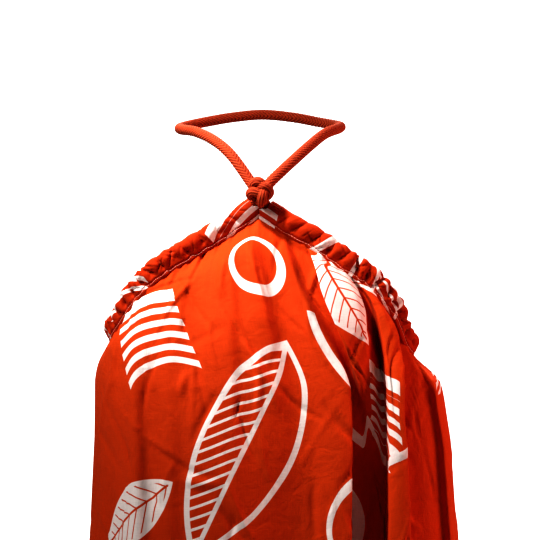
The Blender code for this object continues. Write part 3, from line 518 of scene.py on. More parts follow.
def fold_shift(angle, z):
    """Height and sideways lean of all folds: each is a bell curve across its own line down the cloth."""
    rise = np.zeros(np.broadcast(angle, z).shape)
    lean = np.zeros_like(rise)
    for stations in FOLDS.values():
        turn, height, left_width, right_width, crest_lean = (eased(np.array(stations), k, z) for k in range(1, 6))
        turn = np.radians(turn)
        across = wrapped(angle - turn) * form(turn, z)[2]
        bell = np.exp(-((across / np.where(across < 0, left_width, right_width)) ** 2))
        rise += height * bell
        lean += crest_lean * bell
    return rise, lean


def smooth_path(points, step):
    """Curve through the points with even spacing: a Catmull-Rom curve measured along its length."""
    p = np.array(points, dtype=float)
    p = np.vstack([2 * p[0] - p[1], p, 2 * p[-1] - p[-2]])
    u = np.linspace(0, 1, 12, endpoint=False)[None, :, None]
    curve = between_points(p[:-3, None], p[1:-2, None], p[2:-1, None], p[3:, None], u)
    curve = np.vstack([curve.reshape(-1, p.shape[1]), p[-2][None]])
    run = travelled(curve[:, :3])
    at = np.linspace(0, run[-1], max(2, round(run[-1] / step) + 1))
    return np.stack([np.interp(at, run, curve[:, k]) for k in range(curve.shape[1])], axis=1)


def at_length(values, length, s):
    """Points or directions of a line at distances s along it."""
    return np.stack([np.interp(s, length, values[:, k]) for k in range(3)], axis=-1)


def make_run():
    """Rope line through all casings, with its along, outward and down directions and its length so far.

    The last value holds the lengths where the casings begin and end.
    """
    table = np.array(RUN)
    points = form(np.radians(table[:, 0]), table[:, 1], ROPE_INSET)[0]
    line = smooth_path(points, 0.001)
    angle = np.arctan2(line[:, 0], CENTRE_Y - line[:, 1])
    along = unit(np.gradient(line, axis=0))
    out = form(angle, line[:, 2])[1]
    down = unit(np.cross(out, along))
    out = unit(np.cross(along, down))
    length = np.arange(len(line)) * np.linalg.norm(line[1] - line[0])
    seams = [length[np.argmin(np.linalg.norm(line - points[k], axis=1))] for k in (LEFT_SEAM_ROW, RIGHT_SEAM_ROW)]
    return line, along, out, down, length, (0.0, *seams, length[-1])


THE_RUN = make_run()


def new_object(name, points, faces, material, node=None, uv=None, groove=None):
    """Puts whole arrays of points and four-sided faces into a mesh that rides on the dress."""
    mesh = bpy.data.meshes.new(name)
    points = np.asarray(points, dtype=np.float32).reshape(-1, 3)
    faces = np.asarray(faces, dtype=np.int32)
    mesh.vertices.add(len(points))
    mesh.vertices.foreach_set("co", points.ravel())
    mesh.loops.add(faces.size)
    mesh.loops.foreach_set("vertex_index", faces.ravel())
    mesh.polygons.add(len(faces))
    mesh.polygons.foreach_set("loop_start", np.arange(0, faces.size, faces.shape[1], dtype=np.int32))
    mesh.update(calc_edges=True)
    mesh.polygons.foreach_set("use_smooth", [True] * len(mesh.polygons))
    # groove: how deep in a rope's groove each point lies, which the rope finish darkens as painted shade
    if groove is not None:
        layer = mesh.attributes.new("groove", "FLOAT", "POINT")
        layer.data.foreach_set("value", np.asarray(groove, dtype=np.float32).ravel())
    if uv is not None:
        layer = mesh.uv_layers.new(name="cloth")
        layer.data.foreach_set("uv", np.asarray(uv, dtype=np.float32).reshape(-1, 2)[faces.ravel()].ravel())
    mesh.validate()
    mesh.materials.append(material)
    obj = bpy.data.objects.new(name, mesh)
    bpy.context.scene.collection.objects.link(obj)
    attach(obj, "root")
    if node:
        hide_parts(node)
    return obj


def grid_faces(rows, columns, wrap=False, flip=False, first=0):
    """Faces of a grid of points. With wrap the last column joins the first."""
    i = np.arange(rows - 1)[:, None] * columns
    j = np.arange(columns if wrap else columns - 1)[None, :]
    k = (j + 1) % columns
    faces = np.stack([i + j, i + columns + j, i + columns + k, i + k], axis=-1).reshape(-1, 4) + first
    return faces[:, ::-1] if flip else faces


def casing_edge(angles):
    """Lower edge of the casings at angles round the form, where the panels are stitched in."""
    line, along, out, down, _, _ = THE_RUN
    edge = line + down * (CASING_DROP - PANEL_LAP) + out * PANEL_LAP
    turn = np.unwrap(np.arctan2(edge[:, 0], CENTRE_Y - edge[:, 1]))
    turn -= 2 * np.pi * np.round(turn[0] / (2 * np.pi))
    turn = np.minimum.accumulate(turn)
    tips = [edge[k] + along[k] * (NOTCH_X - edge[k, 0]) / along[k, 0] for k in (0, -1)]
    tip = min(tips, key=lambda t: t[2])
    middle = math.atan2(NOTCH_X, CENTRE_Y - edge[0, 1])
    turn = np.concatenate([[middle], turn, [middle - 2 * np.pi]])
    edge = np.vstack([tip, edge, tip])
    order = np.concatenate([turn[::-1], turn[::-1] + 2 * np.pi])
    both = np.concatenate([edge[::-1]] * 2)
    keep = np.concatenate([[True], np.diff(order) > 1e-7])
    return np.stack([np.interp(angles, order[keep], both[keep, k]) for k in range(3)], axis=-1)


def pucker_angles():
    """Angle round the form of every pucker of the three casings, and its height."""
    line, _, _, down, length, stops = THE_RUN
    found = []
    for k, (_, _, puckers, _, _, _) in enumerate(CASINGS):
        rows = np.array(puckers)
        spot = at_length(line + down * CASING_DROP, length, stops[k] + rows[:, 0] * (stops[k + 1] - stops[k]))
        found.append(np.stack([np.arctan2(spot[:, 0], CENTRE_Y - spot[:, 1]), rows[:, 1]], axis=1))
    return np.vstack(found)


def gathers(angle, below, seed):
    """Short gathers under the casings: at each pucker a narrow ridge with a dip beside it. Both fade as bell curves."""
    random = np.random.default_rng(seed)
    total = np.zeros(angle.shape)
    for spot, height in pucker_angles():
        reach = random.uniform(*GATHER_REACH)
        width = random.uniform(*GATHER_WIDTH)
        drift = random.uniform(*GATHER_DRIFT)
        across = wrapped(angle - spot) * GATHER_RADIUS - drift * below
        fade = np.exp(-((below / reach) ** 1.3))
        total += height * 0.75 * fade * np.exp(-((across / width) ** 2))
        total -= height * 0.55 * fade * np.exp(-(((across - 2.2 * width) / width) ** 2))
    return total


def crumples(u, v, box, height, seed):
    """Small creases: each is a tent-shaped ridge along a short bent line, placed at random on the flat cloth."""
    random = np.random.default_rng(seed)
    total = np.zeros(u.shape)
    for _ in range(CREASE_COUNT):
        cu, cv = random.uniform(box[0], box[1]), random.uniform(box[2], box[3])
        turn = np.pi / 2 + random.normal(0.0, CREASE_TURN)
        half = random.uniform(*CREASE_HALF)
        width = random.uniform(*CREASE_WIDTH)
        rise = random.uniform(*CREASE_RISE) * random.choice([-1.0, 1.0])
        along = (u - cu) * math.cos(turn) + (v - cv) * math.sin(turn)
        across = (v - cv) * math.cos(turn) - (u - cu) * math.sin(turn) + 0.10 * along ** 2 / half
        near = np.clip(1 - np.abs(across) / width, 0, 1) * np.clip(1 - (along / half) ** 2, 0, 1)
        total += rise * near
    return total * height


def between_lines(lines, columns, z):
    """Angle, forward and sideways shift at every column and height z.

    Columns keep their share of the way between two pleat lines, so that no fold crosses them. The forward shift runs
    through the lines as a cubic curve that turns only at crests and valleys.
    """
    index = np.repeat(np.arange(len(columns)), columns)
    share = np.concatenate([np.arange(n) / n for n in columns])
    index, share = np.append(index, len(columns) - 1), np.append(share, 1.0)
    at = np.array([[eased(np.array(stations), k, z) for k in (1, 2, 3)] for _, stations in lines])
    angle, forward, aside = np.radians(at[:, 0]), at[:, 1], at[:, 2]
    gap = np.diff(angle, axis=0) * PLEAT_RADIUS
    slope = np.diff(forward, axis=0) / np.maximum(gap, 1e-6)
    turn = slope[:-1] * slope[1:]
    inner = np.where(turn > 0, 2 * turn / np.where(turn > 0, slope[:-1] + slope[1:], 1.0), 0.0)
    edge = np.concatenate([0 * forward[:1], inner, 0 * forward[:1]])
    t = share[None, :]
    before = (index[None, :], np.arange(z.shape[0])[:, None], np.arange(z.shape[1])[None, :])
    after = (index[None, :] + 1, *before[1:])
    ease = smooth_step(t)
    forward_shift = ((1 + 2 * t) * (1 - t) ** 2 * forward[before] + t * (1 - t) ** 2 * gap[before] * edge[before]
                     + ease * forward[after] + t * t * (t - 1) * gap[before] * edge[after])
    return (angle[before] * (1 - t) + angle[after] * t, forward_shift,
            aside[before] * (1 - ease) + aside[after] * ease)


def drape(lines, columns, share, seed):
    """Panel of cloth: the form, plus the folds along its outward direction and the pleats toward the front.

    Columns follow the pleat lines, and rows are shares of the drop from the casing to the hem. Near the casing the
    cloth eases over from the stitched edge to the form with a bell-shaped fade. Gives the points, the place of each
    on the flat cloth, and the outward directions.
    """
    sizes = bpy.context.scene.dress_sizes
    z = np.full((1, sum(columns) + 1), -0.18)
    for _ in range(12):
        angles = between_lines(lines, columns, z)[0][0]
        top = casing_edge(angles)
        z = 0.5 * z + 0.5 * top[None, :, 2]
    z = top[None, :, 2] + (sizes.hem_z - top[None, :, 2]) * share[:, None]
    angle, forward, aside = between_lines(lines, columns, z)
    angle[0] = angles
    base, normal, radius = form(angle, z)
    below = top[None, :, 2] - z
    settled = np.exp(-((below / SETTLE) ** 2))[..., None]
    fade = smooth_step(below / FOLD_START)
    side = np.stack([-normal[..., 1], normal[..., 0], 0 * z], axis=-1)
    rise, lean = fold_shift(angle, z)
    shift = np.stack([aside, -forward, 0 * z], axis=-1) * smooth_step(below / PLEAT_START)[..., None]
    cloth = base + normal * (rise * fade)[..., None] + side * (lean * fade)[..., None] + shift
    cloth = cloth + (top - base[0])[None] * settled
    middle = np.round(angles.mean() / np.pi) * np.pi
    across = np.linalg.norm(np.diff(cloth, axis=1), axis=-1)
    u = np.concatenate([np.zeros((len(share), 1)), np.cumsum(across, axis=1)], axis=1)
    u -= u[:, np.argmin(np.abs(angles - middle))][:, None]
    fall = np.linalg.norm(np.diff(cloth, axis=0), axis=-1)
    v = np.concatenate([np.zeros((1, len(angles))), np.cumsum(fall, axis=0)], axis=0) - top[None, :, 2]
    turned = np.clip((np.abs(angle - middle) - CREASE_FADE_FROM) / CREASE_FADE_OVER, 0, 1)
    fine = crumples(u, v, (u.min(), u.max(), 0.12, 1.2), sizes.crumple, seed) * (1 - CREASE_FADE * turned)
    fine = fine + gathers(angle, below, seed + 1)
    edge = np.minimum(angle - angles[0], angles[-1] - angle) * radius
    fine -= SEAM_DIP * np.exp(-((edge / SEAM_WIDTH) ** 2))
    return cloth + normal * fine[..., None], np.stack([u, v], axis=-1), normal


def add_panel(name, node, lines, columns, material, seed):
    """A panel with its hem turned up inside: the last rows run round the hem line and back up.

    Rows lie closer toward the casing: their share of the drop grows as an exponential.
    """
    sizes = bpy.context.scene.dress_sizes
    x = np.linspace(0, 1, sizes.rows)
    share = (np.exp(ROW_CROWDING * x) - 1) / (math.exp(ROW_CROWDING) - 1)
    cloth, uv, normal = drape(lines, columns, share, seed)
    inward = -unit(normal[-1])
    rows = [cloth[-1] + inward * HEM_GAP / 2 + np.array((0, 0, -HEM_ROUND))]
    lifts = np.linspace(0.002, sizes.hem_turn, HEM_ROWS)
    for lift in lifts:
        height = cloth[-1, :, 2] + lift
        index = np.clip(np.searchsorted(-cloth[:, 0, 2], -(cloth[-1, 0, 2] + lift)) - 1, 0, len(share) - 2)
        z0, z1 = cloth[index, :, 2], cloth[index + 1, :, 2]
        mix = np.clip((z0 - height) / np.maximum(z0 - z1, 1e-6), 0, 1)[:, None]
        rows.append(cloth[index] * (1 - mix) + cloth[index + 1] * mix + inward * HEM_GAP)
    cloth = np.concatenate([cloth, np.array(rows)])
    turned_up = uv[-1][None] + np.array([0.001, *lifts])[:, None, None] * np.array((0.0, 1.0))
    return new_object(
        name, cloth, grid_faces(*cloth.shape[:2]), material, node=node,
        uv=np.concatenate([uv, turned_up]))


def section_curve():
    """Closed smooth outline of the casing round the rope, from the section table: outward, down, share of a pucker."""
    p = np.array(SECTION)
    n = len(p)
    at = np.arange(CASING_SIDES) * n / CASING_SIDES
    k = at.astype(int)
    return between_points(p[(k - 1) % n], p[k % n], p[(k + 1) % n], p[(k + 2) % n], (at - k)[:, None])


def sewn_column(curve):
    """Column of the casing's grid that the stitching runs along, on its outer side."""
    return int(np.argmin(np.abs(curve[:, 1] - SEWN_DROP) + (curve[:, 0] < 0)))


def random_crease(random, place, height, ranges):
    """A crease's place along, place down, slant, depth, width and length, each drawn from its range."""
    middle, slant, share, width, reach = [random.uniform(*ends) for ends in ranges]
    return place, middle, slant, height * share, width, reach


def pucker_field(table, span, s, w, seed):
    """Puckers across a casing: a broad swell at each crest, a sharp crease between two crests, and short fine creases.

    Every crease is a pointed bell across its own slanting line, and a bell along it, so that it runs only part of the
    way round. All of them have their own depth, width, length and slant.
    """
    random = np.random.default_rng(seed)
    rows = np.array(table)
    spots = rows[:, 0] * span
    valleys = np.concatenate([[-0.004], (spots[1:] + spots[:-1]) / 2, [span + 0.004]])
    at = s - np.interp(s, spots, rows[:, 2]) * w * 0.8
    k = np.clip(np.searchsorted(valleys, at) - 1, 0, len(rows) - 1)
    x = np.clip((at - (valleys[k] + valleys[k + 1]) / 2) / (valleys[k + 1] - valleys[k]), -0.5, 0.5)
    total = rows[k, 1] * 0.34 * np.cos(2 * np.pi * x)
    creases = []
    for place, height in zip(valleys[1:-1], (rows[1:, 1] + rows[:-1, 1]) / 2):
        creases.append(random_crease(random, place, height, LONG_CREASE))
    places = np.arange(0.004, span - 0.004, FINE_PITCH)
    for place in places + random.uniform(-FINE_SHIFT, FINE_SHIFT, len(places)):
        creases.append(random_crease(random, place, np.interp(place, spots, rows[:, 1]), FINE_CREASE))
    for place, middle, slant, depth, width, reach in creases:
        across = np.abs(s - place - slant * (w - middle)) / width
        total -= depth * np.exp(-across ** 1.3 - ((w - middle) / reach) ** 2)
    return total


def add_casing(name, node, table, seed, notch_end, print_start, start, end, material):
    """Gathered tube of cloth round the rope: the section outline carried along the rope line, pushed out by puckers.

    It is drawn in at the seams, and sunk along the stitching. At the notch its lower part reaches the centre line.
    Each end turns in round the rope.
    """
    sizes = bpy.context.scene.dress_sizes
    line, along, out, down, length, _ = THE_RUN
    span = end - start
    s = np.linspace(0, span, round(span / CASING_STEP))
    at = start + s
    centre = at_length(line, length, at)
    tangent, n, w = (unit(at_length(values, length, at)) for values in (along, out, down))
    curve = section_curve()
    share = curve[:, 2]
    away = unit((curve[:, :2] - np.array((0.0, 0.0015))) * np.array((1.0, 0.55)))
    field = pucker_field(table, span, np.broadcast_to(s[:, None], (len(s), CASING_SIDES)), curve[None, :, 1], seed)
    field = field * share[None] * sizes.pucker
    seam = np.minimum(s + (notch_end == 0), span - s + (notch_end == -1))
    field = field - SEAM_PINCH * np.exp(-((seam / SEAM_REACH) ** 2))[:, None] * share[None]
    sewn = sewn_column(curve)
    sunk = np.array(SEWN_SINK) * sizes.stitch / USUAL_STITCH
    field[:, sewn - 1: sewn + 2] = field[:, sewn, None] - sunk
    a = curve[None, :, 0] + field * away[None, :, 0]
    b = curve[None, :, 1] + field * away[None, :, 1]
    points = centre[:, None] + a[..., None] * n[:, None] + b[..., None] * w[:, None]
    if notch_end is not None:
        lap = NOTCH_LAP if notch_end == 0 else -NOTCH_LAP
        reach = (NOTCH_X + lap - points[notch_end, :, 0]) / tangent[notch_end, 0]
        part = np.clip((curve[:, 1] - 0.003) / 0.004, 0, 1)
        close = np.exp(-((s if notch_end == 0 else span - s) / NOTCH_DRAW) ** 2)
        step = (reach * part)[None, :] * close[:, None]
        points = points + step[..., None] * tangent[:, None]
    circle = np.arctan2(curve[:, 1], curve[:, 0])
    rings = []
    for k, inward in ((0, 1), (-1, -1)):
        ring = centre[k] + BORE_RADIUS * (np.cos(circle)[:, None] * n[k] + np.sin(circle)[:, None] * w[k])
        lip = points[k] * 0.55 + ring * 0.45
        rings.append([base + tangent[k] * inward * shift
                      for base, shift in ((lip, -0.0006), (ring, 0.0010), (ring, 0.009))])
    points = np.concatenate([np.array(rings[0])[::-1], points, np.array(rings[1])])
    girth = travelled(curve[:, :2])
    run = np.concatenate([[-0.010, -0.002, -0.001], s, span + np.array((0.001, 0.002, 0.010))]) * CASING_FULLNESS
    u = np.broadcast_to((run + print_start)[:, None], points.shape[:2])
    v = np.broadcast_to(CASING_PRINT_ROW + girth[None, :] * 1.1, points.shape[:2])
    return new_object(
        name, points, grid_faces(*points.shape[:2], wrap=True, flip=True), material, node=node,
        uv=np.stack([u, v], axis=-1))


def rope_surface(path, radius, pitch, tilt, roll, twist, sides=48):
    """Braided rope: a tube whose ribs run up to a ridge line along it from both sides, like a plait.

    A rib is the rounded part of a sine of the distance across it. roll turns the ridge line, and twist turns it
    further along the rope. Gives the points, the flat measures round and along, and how deep in a groove each is.
    """
    along = unit(np.gradient(path, axis=0))
    frames = [unit(np.cross(along[0], (0.0, 0.0, 1.0)))]
    for direction in along[1:]:
        frames.append(unit(frames[-1] - direction * np.dot(frames[-1], direction)))
    out = np.array(frames)
    other = np.cross(along, out)
    s = travelled(path)[:, None]
    turn = (np.arange(sides) * 2 * np.pi / sides)[None, :]
    radius = np.broadcast_to(np.asarray(radius, dtype=float), (len(path),))[:, None]
    phi = np.abs(wrapped(turn - roll - twist * s))
    wander = 0.35 * np.sin(s * 210 + turn) + 0.25 * np.sin(s * 67)
    phase = (radius * phi * math.cos(tilt) + s * math.sin(tilt)) * np.pi / pitch + wander
    rib = np.abs(np.sin(phase)) ** 0.6
    fibre = np.sin(phase * 3.7 + 5 * phi) * 0.16 * rib
    r = radius * (0.82 + 0.21 * rib + 0.05 * fibre)
    points = path[:, None] + r[..., None] * (
        np.cos(turn)[..., None] * out[:, None] + np.sin(turn)[..., None] * other[:, None])
    uv = np.stack(np.broadcast_arrays(radius * turn, s), axis=-1)
    # The groove measure is what the rope finish darkens as painted shade
    return points, uv, np.clip(1 - rib - 0.5 * fibre, 0, 1)


def add_rope(name, node, path, radius, roll, twist, sides):
    """One length of braided rope along a path."""
    pitch = bpy.context.scene.dress_sizes.rib_pitch
    points, uv, groove = rope_surface(path, radius, pitch, BRAID_TILT, roll, twist, sides)
    return new_object(
        name, points, grid_faces(*groove.shape, wrap=True, flip=True), material_named("cotton_rope"),
        node=node, uv=uv, groove=groove)


def stitch_row(points, along, out, stitch, radius):
    """Row of stitches along a line: each is a short bead of thread with narrow ends, sunk a little in the cloth."""
    run = travelled(points)
    count = int(run[-1] // (stitch + STITCH_GAP))
    mid = (np.arange(count) + 0.5) * (stitch + STITCH_GAP)
    c = at_length(points, run, mid)
    t = unit(at_length(along, run, mid))
    n = unit(at_length(out, run, mid))
    b = unit(np.cross(t, n))
    n = np.cross(b, t)
    place = np.array((-0.5, -0.36, 0.0, 0.36, 0.5)) * stitch
    thick = np.array((0.25, 0.85, 1.0, 0.85, 0.25)) * radius
    sink = np.array((-0.9, 0.0, 0.25, 0.0, -0.9)) * radius
    turn = np.arange(6) * np.pi / 3
    ring = np.cos(turn)[:, None] * n[:, None, None] + np.sin(turn)[:, None] * b[:, None, None]
    rings = (c[:, None, None] + place[None, :, None, None] * t[:, None, None] + sink[None, :, None, None]
             * n[:, None, None] + thick[None, :, None, None] * ring)
    one = grid_faces(len(place), len(turn), wrap=True, flip=True)
    faces = one[None] + len(place) * len(turn) * np.arange(count)[:, None, None]
    return rings.reshape(-1, 3), faces.reshape(-1, 4)


def feed(tree, value, socket):
    """Links a node's output to a socket, or sets the socket to a plain value."""
    if isinstance(value, bpy.types.NodeSocket):
        tree.links.new(value, socket)
    else:
        socket.default_value = value


class Maths:
    """Lays maths nodes in a node tree, so that a pattern can be written as a formula."""

    def __init__(self, tree):
        self.tree = tree
        self.count = 0

    def place(self, kind):
        """Adds a node of a kind, in rows of nine."""
        node = self.tree.nodes.new(kind)
        node.location = (-1600 + 180 * (self.count % 9), 600 - 170 * (self.count // 9))
        node.hide = True
        self.count += 1
        return node

    def fill(self, node, *values):
        """Feeds values to a node's first sockets, and gives its outputs."""
        for socket, value in zip(node.inputs, values):
            if value is not None:
                feed(self.tree, value, socket)
        return node.outputs

    def do(self, operation, a, b=None, c=None, clamp=False):
        """One maths operation on values or outputs."""
        node = self.place("ShaderNodeMath")
        node.operation = operation
        node.use_clamp = clamp
        return self.fill(node, a, b, c)[0]

    def distance(self, a, b):
        """Distance between two places on the cloth."""
        node = self.place("ShaderNodeVectorMath")
        node.operation = "DISTANCE"
        return self.fill(node, a, b)["Value"]

    def split(self, vector):
        """How far along and how far down the cloth a place lies."""
        x, y, _ = self.fill(self.place("ShaderNodeSeparateXYZ"), vector)
        return x, y

    def join(self, x, y):
        """The place that lies x along and y down the cloth."""
        return self.fill(self.place("ShaderNodeCombineXYZ"), x, y)[0]

    def local(self, vector, x, y, turn):
        """The place on the cloth as a motif sees it, from its own middle and turned with it."""
        node = self.place("ShaderNodeMapping")
        node.vector_type = "TEXTURE"
        node.inputs["Location"].default_value = (x, y, 0)
        node.inputs["Rotation"].default_value = (0, 0, math.radians(turn))
        return self.fill(node, vector)[0]

    def under(self, value, limit, soft=0.0005):
        """One where value is less than limit, with a soft edge."""
        gap = self.do("SUBTRACT", limit, value)
        return self.do("MULTIPLY_ADD", gap, 1 / soft, 0.5, clamp=True)

    def near(self, value, middle, half):
        """One where value differs from the middle by less than half."""
        return self.under(self.do("ABSOLUTE", self.do("SUBTRACT", value, middle)), half)

    def both(self, a, b):
        """Product of two shapes: one where they overlap."""
        return self.do("MULTIPLY", a, b)

    def either(self, a, b):
        """Larger of two shapes: one where either lies."""
        return self.do("MAXIMUM", a, b)

    def outside(self, shape):
        """One less the shape."""
        return self.do("SUBTRACT", 1.0, shape)

    def stripes(self, value, pitch, share):
        """Parallel stripes: one where the distance to the middle of its stripe is less than share of the pitch."""
        return self.under(self.do("PINGPONG", value, pitch / 2), pitch * share / 2)


def leaf(m, p, half, wide):
    """Leaf between two arcs that cross at its tips, with what its veins are drawn by.

    Gives the place across it, the distance to its middle line, a measure that is even along each slanting vein, the
    distance to the farther arc's centre, that arc's radius, and the whole leaf.
    """
    px, py = m.split(p)
    arc = (half ** 2 + wide ** 2) / (2 * wide)
    far = m.either(m.distance(p, (arc - wide, 0, 0)), m.distance(p, (wide - arc, 0, 0)))
    side = m.do("ABSOLUTE", px)
    vein = m.do("ADD", py, m.do("MULTIPLY", side, -0.9))
    return px, side, vein, far, arc, m.under(far, arc)


def veined_leaf(m, p, half, wide, line):
    """Leaf drawn in line: its rim, its middle rib, and slanting veins on one half."""
    px, side, vein, far, arc, inside = leaf(m, p, half, wide)
    rim = m.both(inside, m.outside(m.under(far, arc - line)))
    rib = m.both(inside, m.under(side, line * 0.42))
    veins = m.both(m.both(inside, m.under(px, 0.0)), m.stripes(vein, 0.0135, 0.28))
    return m.either(m.either(rim, rib), veins)


def solid_leaf(m, p, half, wide, line):
    """Filled leaf with its rib and its veins cut out, all but a narrow rim."""
    _, side, vein, far, arc, inside = leaf(m, p, half, wide)
    cut = m.either(m.under(side, line * 0.7), m.stripes(vein, 0.013, 0.14))
    return m.both(inside, m.outside(m.both(cut, m.under(far, arc - 0.004))))


def crescent(m, p, half, wide, line):
    """Disc with a round hole that lies off its middle, so that the ring is thin on one side and fat on the other."""
    hole = m.distance(p, ((line - wide) / 2, 0, 0))
    disc = m.under(m.distance(p, (0, 0, 0)), half)
    return m.both(disc, m.outside(m.under(hole, half - (wide + line) / 2)))


def arcs(m, p, half, wide, line):
    """Block of curved stripes: rings round a point beside it, with one fat bar at the far side."""
    px, py = m.split(p)
    far = m.do("SUBTRACT", m.distance(p, (0, 0.09, 0)), 0.09)
    rows = m.both(m.stripes(m.do("ADD", far, 0.5), line, 0.50), m.near(far, 0, wide))
    head = m.near(far, wide + 0.012, 0.0068)
    return m.both(m.either(rows, head), m.both(m.near(px, 0, half), m.under(py, 0.045)))


def band(m, p, half, wide, line):
    """Long bow: the part of a large ring that lies on one side of a straight line."""
    return m.both(m.near(m.distance(p, (0, 0, 0)), half, line / 2), m.under(m.split(p)[1], -0.03))


MOTIFS = {"veined_leaf": veined_leaf, "solid_leaf": solid_leaf, "crescent": crescent, "arcs": arcs, "band": band}


def new_group(name, inputs, outputs):
    """Empty shader node group with named inputs and outputs."""
    tree = bpy.data.node_groups.new(name, "ShaderNodeTree")
    for socket, kind, value in inputs:
        made = tree.interface.new_socket(name=socket, in_out="INPUT", socket_type=kind)
        if value is not None:
            made.default_value = value
    for socket, kind in outputs:
        tree.interface.new_socket(name=socket, in_out="OUTPUT", socket_type=kind)
    start = tree.nodes.new("NodeGroupInput")
    end = tree.nodes.new("NodeGroupOutput")
    start.location = (-1900, 0)
    end.location = (400, 0)
    return tree, start, end


def make_print_group():
    """Leaf print: a repeat of leaves, crescents, arcs and bands, every second column dropped by half a repeat."""
    tree, start, end = new_group("leaf_print", [("Cloth", "NodeSocketVector", None)], [("Ink", "NodeSocketFloat")])
    m = Maths(tree)
    x, y = m.split(start.outputs["Cloth"])
    shifted = m.do("ADD", x, PRINT_WIDTH / 2)
    column = m.do("FLOOR", m.do("DIVIDE", shifted, PRINT_WIDTH))
    x = m.do("SUBTRACT", m.do("SUBTRACT", shifted, m.do("MULTIPLY", column, PRINT_WIDTH)), PRINT_WIDTH / 2)
    drop = m.do("MULTIPLY", m.do("PINGPONG", column, 1.0), PRINT_DROP / 2)
    y = m.do("WRAP", m.do("ADD", y, drop), PRINT_DROP + PRINT_TOP, PRINT_TOP)
    cloth = m.join(x, y)
    ink = None
    for kind, u, v, turn, half, wide, line in PRINT:
        shape = MOTIFS[kind](m, m.local(cloth, u, v, turn), half, wide, line)
        ink = shape if ink is None else m.either(ink, shape)
    tree.links.new(ink, end.inputs["Ink"])
    return tree


def make_weave_group():
    """Plain weave with slubs: fine threads both ways, and long thin uneven ones, as a height and a tint near one."""
    tree, start, end = new_group(
        "weave",
        [("Cloth", "NodeSocketVector", None), ("Pitch", "NodeSocketFloat", 0.0006)],
        [("Height", "NodeSocketFloat"), ("Tint", "NodeSocketFloat")])
    m = Maths(tree)
    x, y = m.split(start.outputs["Cloth"])
    waves = [m.do("SINE", m.do("MULTIPLY", m.do("DIVIDE", value, start.outputs["Pitch"]), 2 * math.pi))
             for value in (x, y)]
    slubs = []
    for along, across, seed in ((60.0, 1400.0, 0.0), (1400.0, 60.0, 7.3)):
        scaled = m.join(m.do("MULTIPLY", x, along), m.do("MULTIPLY_ADD", y, across, seed))
        noise = m.place("ShaderNodeTexNoise")
        noise.noise_dimensions = "2D"
        noise.inputs["Scale"].default_value = 1.0
        noise.inputs["Detail"].default_value = 1.5
        tree.links.new(scaled, noise.inputs["Vector"])
        slubs.append(noise.outputs["Fac"])
    slub = m.do("ADD", *slubs)
    height = m.do("MULTIPLY_ADD", m.do("MULTIPLY", *waves), 0.25, m.do("MULTIPLY", slub, 0.75))
    tint = m.do("MULTIPLY_ADD", m.do("SUBTRACT", slub, 1.0), 0.16, 1.0)
    tree.links.new(height, end.inputs["Height"])
    tree.links.new(tint, end.inputs["Tint"])
    return tree


def shader_of(material):
    """Node tree of a material and its main shader."""
    material.use_nodes = True
    return material.node_tree, material.node_tree.nodes["Principled BSDF"]


def noise_over(tree, vector, scale, detail, roughness=0.5, distortion=0.0):
    """Clouded noise over a vector."""
    noise = tree.nodes.new("ShaderNodeTexNoise")
    for name, value in (("Scale", scale), ("Detail", detail), ("Roughness", roughness), ("Distortion", distortion)):
        noise.inputs[name].default_value = value
    tree.links.new(vector, noise.inputs["Vector"])
    return noise.outputs["Fac"]


def mixed(tree, factor, a, b, blend="MIX"):
    """Colour between a and b, or a multiplied by b."""
    mix = tree.nodes.new("ShaderNodeMix")
    mix.data_type = "RGBA"
    mix.blend_type = blend
    for name, value in (("Factor", factor), ("A", a), ("B", b)):
        feed(tree, value, mix.inputs[name])
    return mix.outputs["Result"]


def shades(colour, darker, lighter):
    """A darker and a lighter shade of a colour."""
    return (*[c * darker for c in colour], 1), (*[min(1.0, c * lighter) for c in colour], 1)


def relief(tree, shader, height, strength, distance):
    """Bump on a shader's normal."""
    bump = tree.nodes.new("ShaderNodeBump")
    bump.inputs["Strength"].default_value = strength
    bump.inputs["Distance"].default_value = distance
    tree.links.new(height, bump.inputs["Height"])
    tree.links.new(bump.outputs[0], shader.inputs["Normal"])


def make_cloth_material(name, ink_group, weave_group, bump, depth):
    """Voile: orange ground with white ink, uneven thread tint, soft dye clouds, weave and crumple bump, faint sheen.
    The ground is multiplied by depth, a painted-shade factor.
    """
    colours = bpy.context.scene.dress_colours
    material = bpy.data.materials.new(name)
    tree, shader = shader_of(material)
    m = Maths(tree)
    uv = tree.nodes.new("ShaderNodeUVMap")
    uv.uv_map = "cloth"
    ink, weave = tree.nodes.new("ShaderNodeGroup"), tree.nodes.new("ShaderNodeGroup")
    for node, group in ((ink, ink_group), (weave, weave_group)):
        node.node_tree = group
        tree.links.new(uv.outputs[0], node.inputs["Cloth"])
    # depth multiplies the ground colour: painted shade, darker and redder for the casings than for the panels
    dark, light = shades([c * d for c, d in zip(colours.cloth, depth)], 0.92, 1.10)
    ground = mixed(tree, noise_over(tree, uv.outputs[0], 22.0, 4.0), dark, light)
    printed = mixed(tree, m.do("MULTIPLY", ink.outputs["Ink"], 0.985), ground, (*colours.print_ink, 1))
    grey = tree.nodes.new("ShaderNodeCombineColor")
    for socket in grey.inputs[:3]:
        tree.links.new(weave.outputs["Tint"], socket)
    tree.links.new(mixed(tree, 1.0, printed, grey.outputs[0], "MULTIPLY"), shader.inputs["Base Color"])
    crease = noise_over(tree, uv.outputs[0], 60.0, 5.0, 0.55, 0.6)
    height = m.do("MULTIPLY_ADD", crease, 1.6, m.do("MULTIPLY", weave.outputs["Height"], 0.12))
    relief(tree, shader, height, 0.55, bump)
    tree.links.new(m.do("MULTIPLY_ADD", ink.outputs["Ink"], -0.10, 0.78), shader.inputs["Roughness"])
    shader.inputs["Sheen Weight"].default_value = 0.05
    shader.inputs["Sheen Roughness"].default_value = 0.45
    shader.inputs["Sheen Tint"].default_value = (1.0, 0.55, 0.42, 1)
    shader.inputs["Specular IOR Level"].default_value = 0.14
    return material


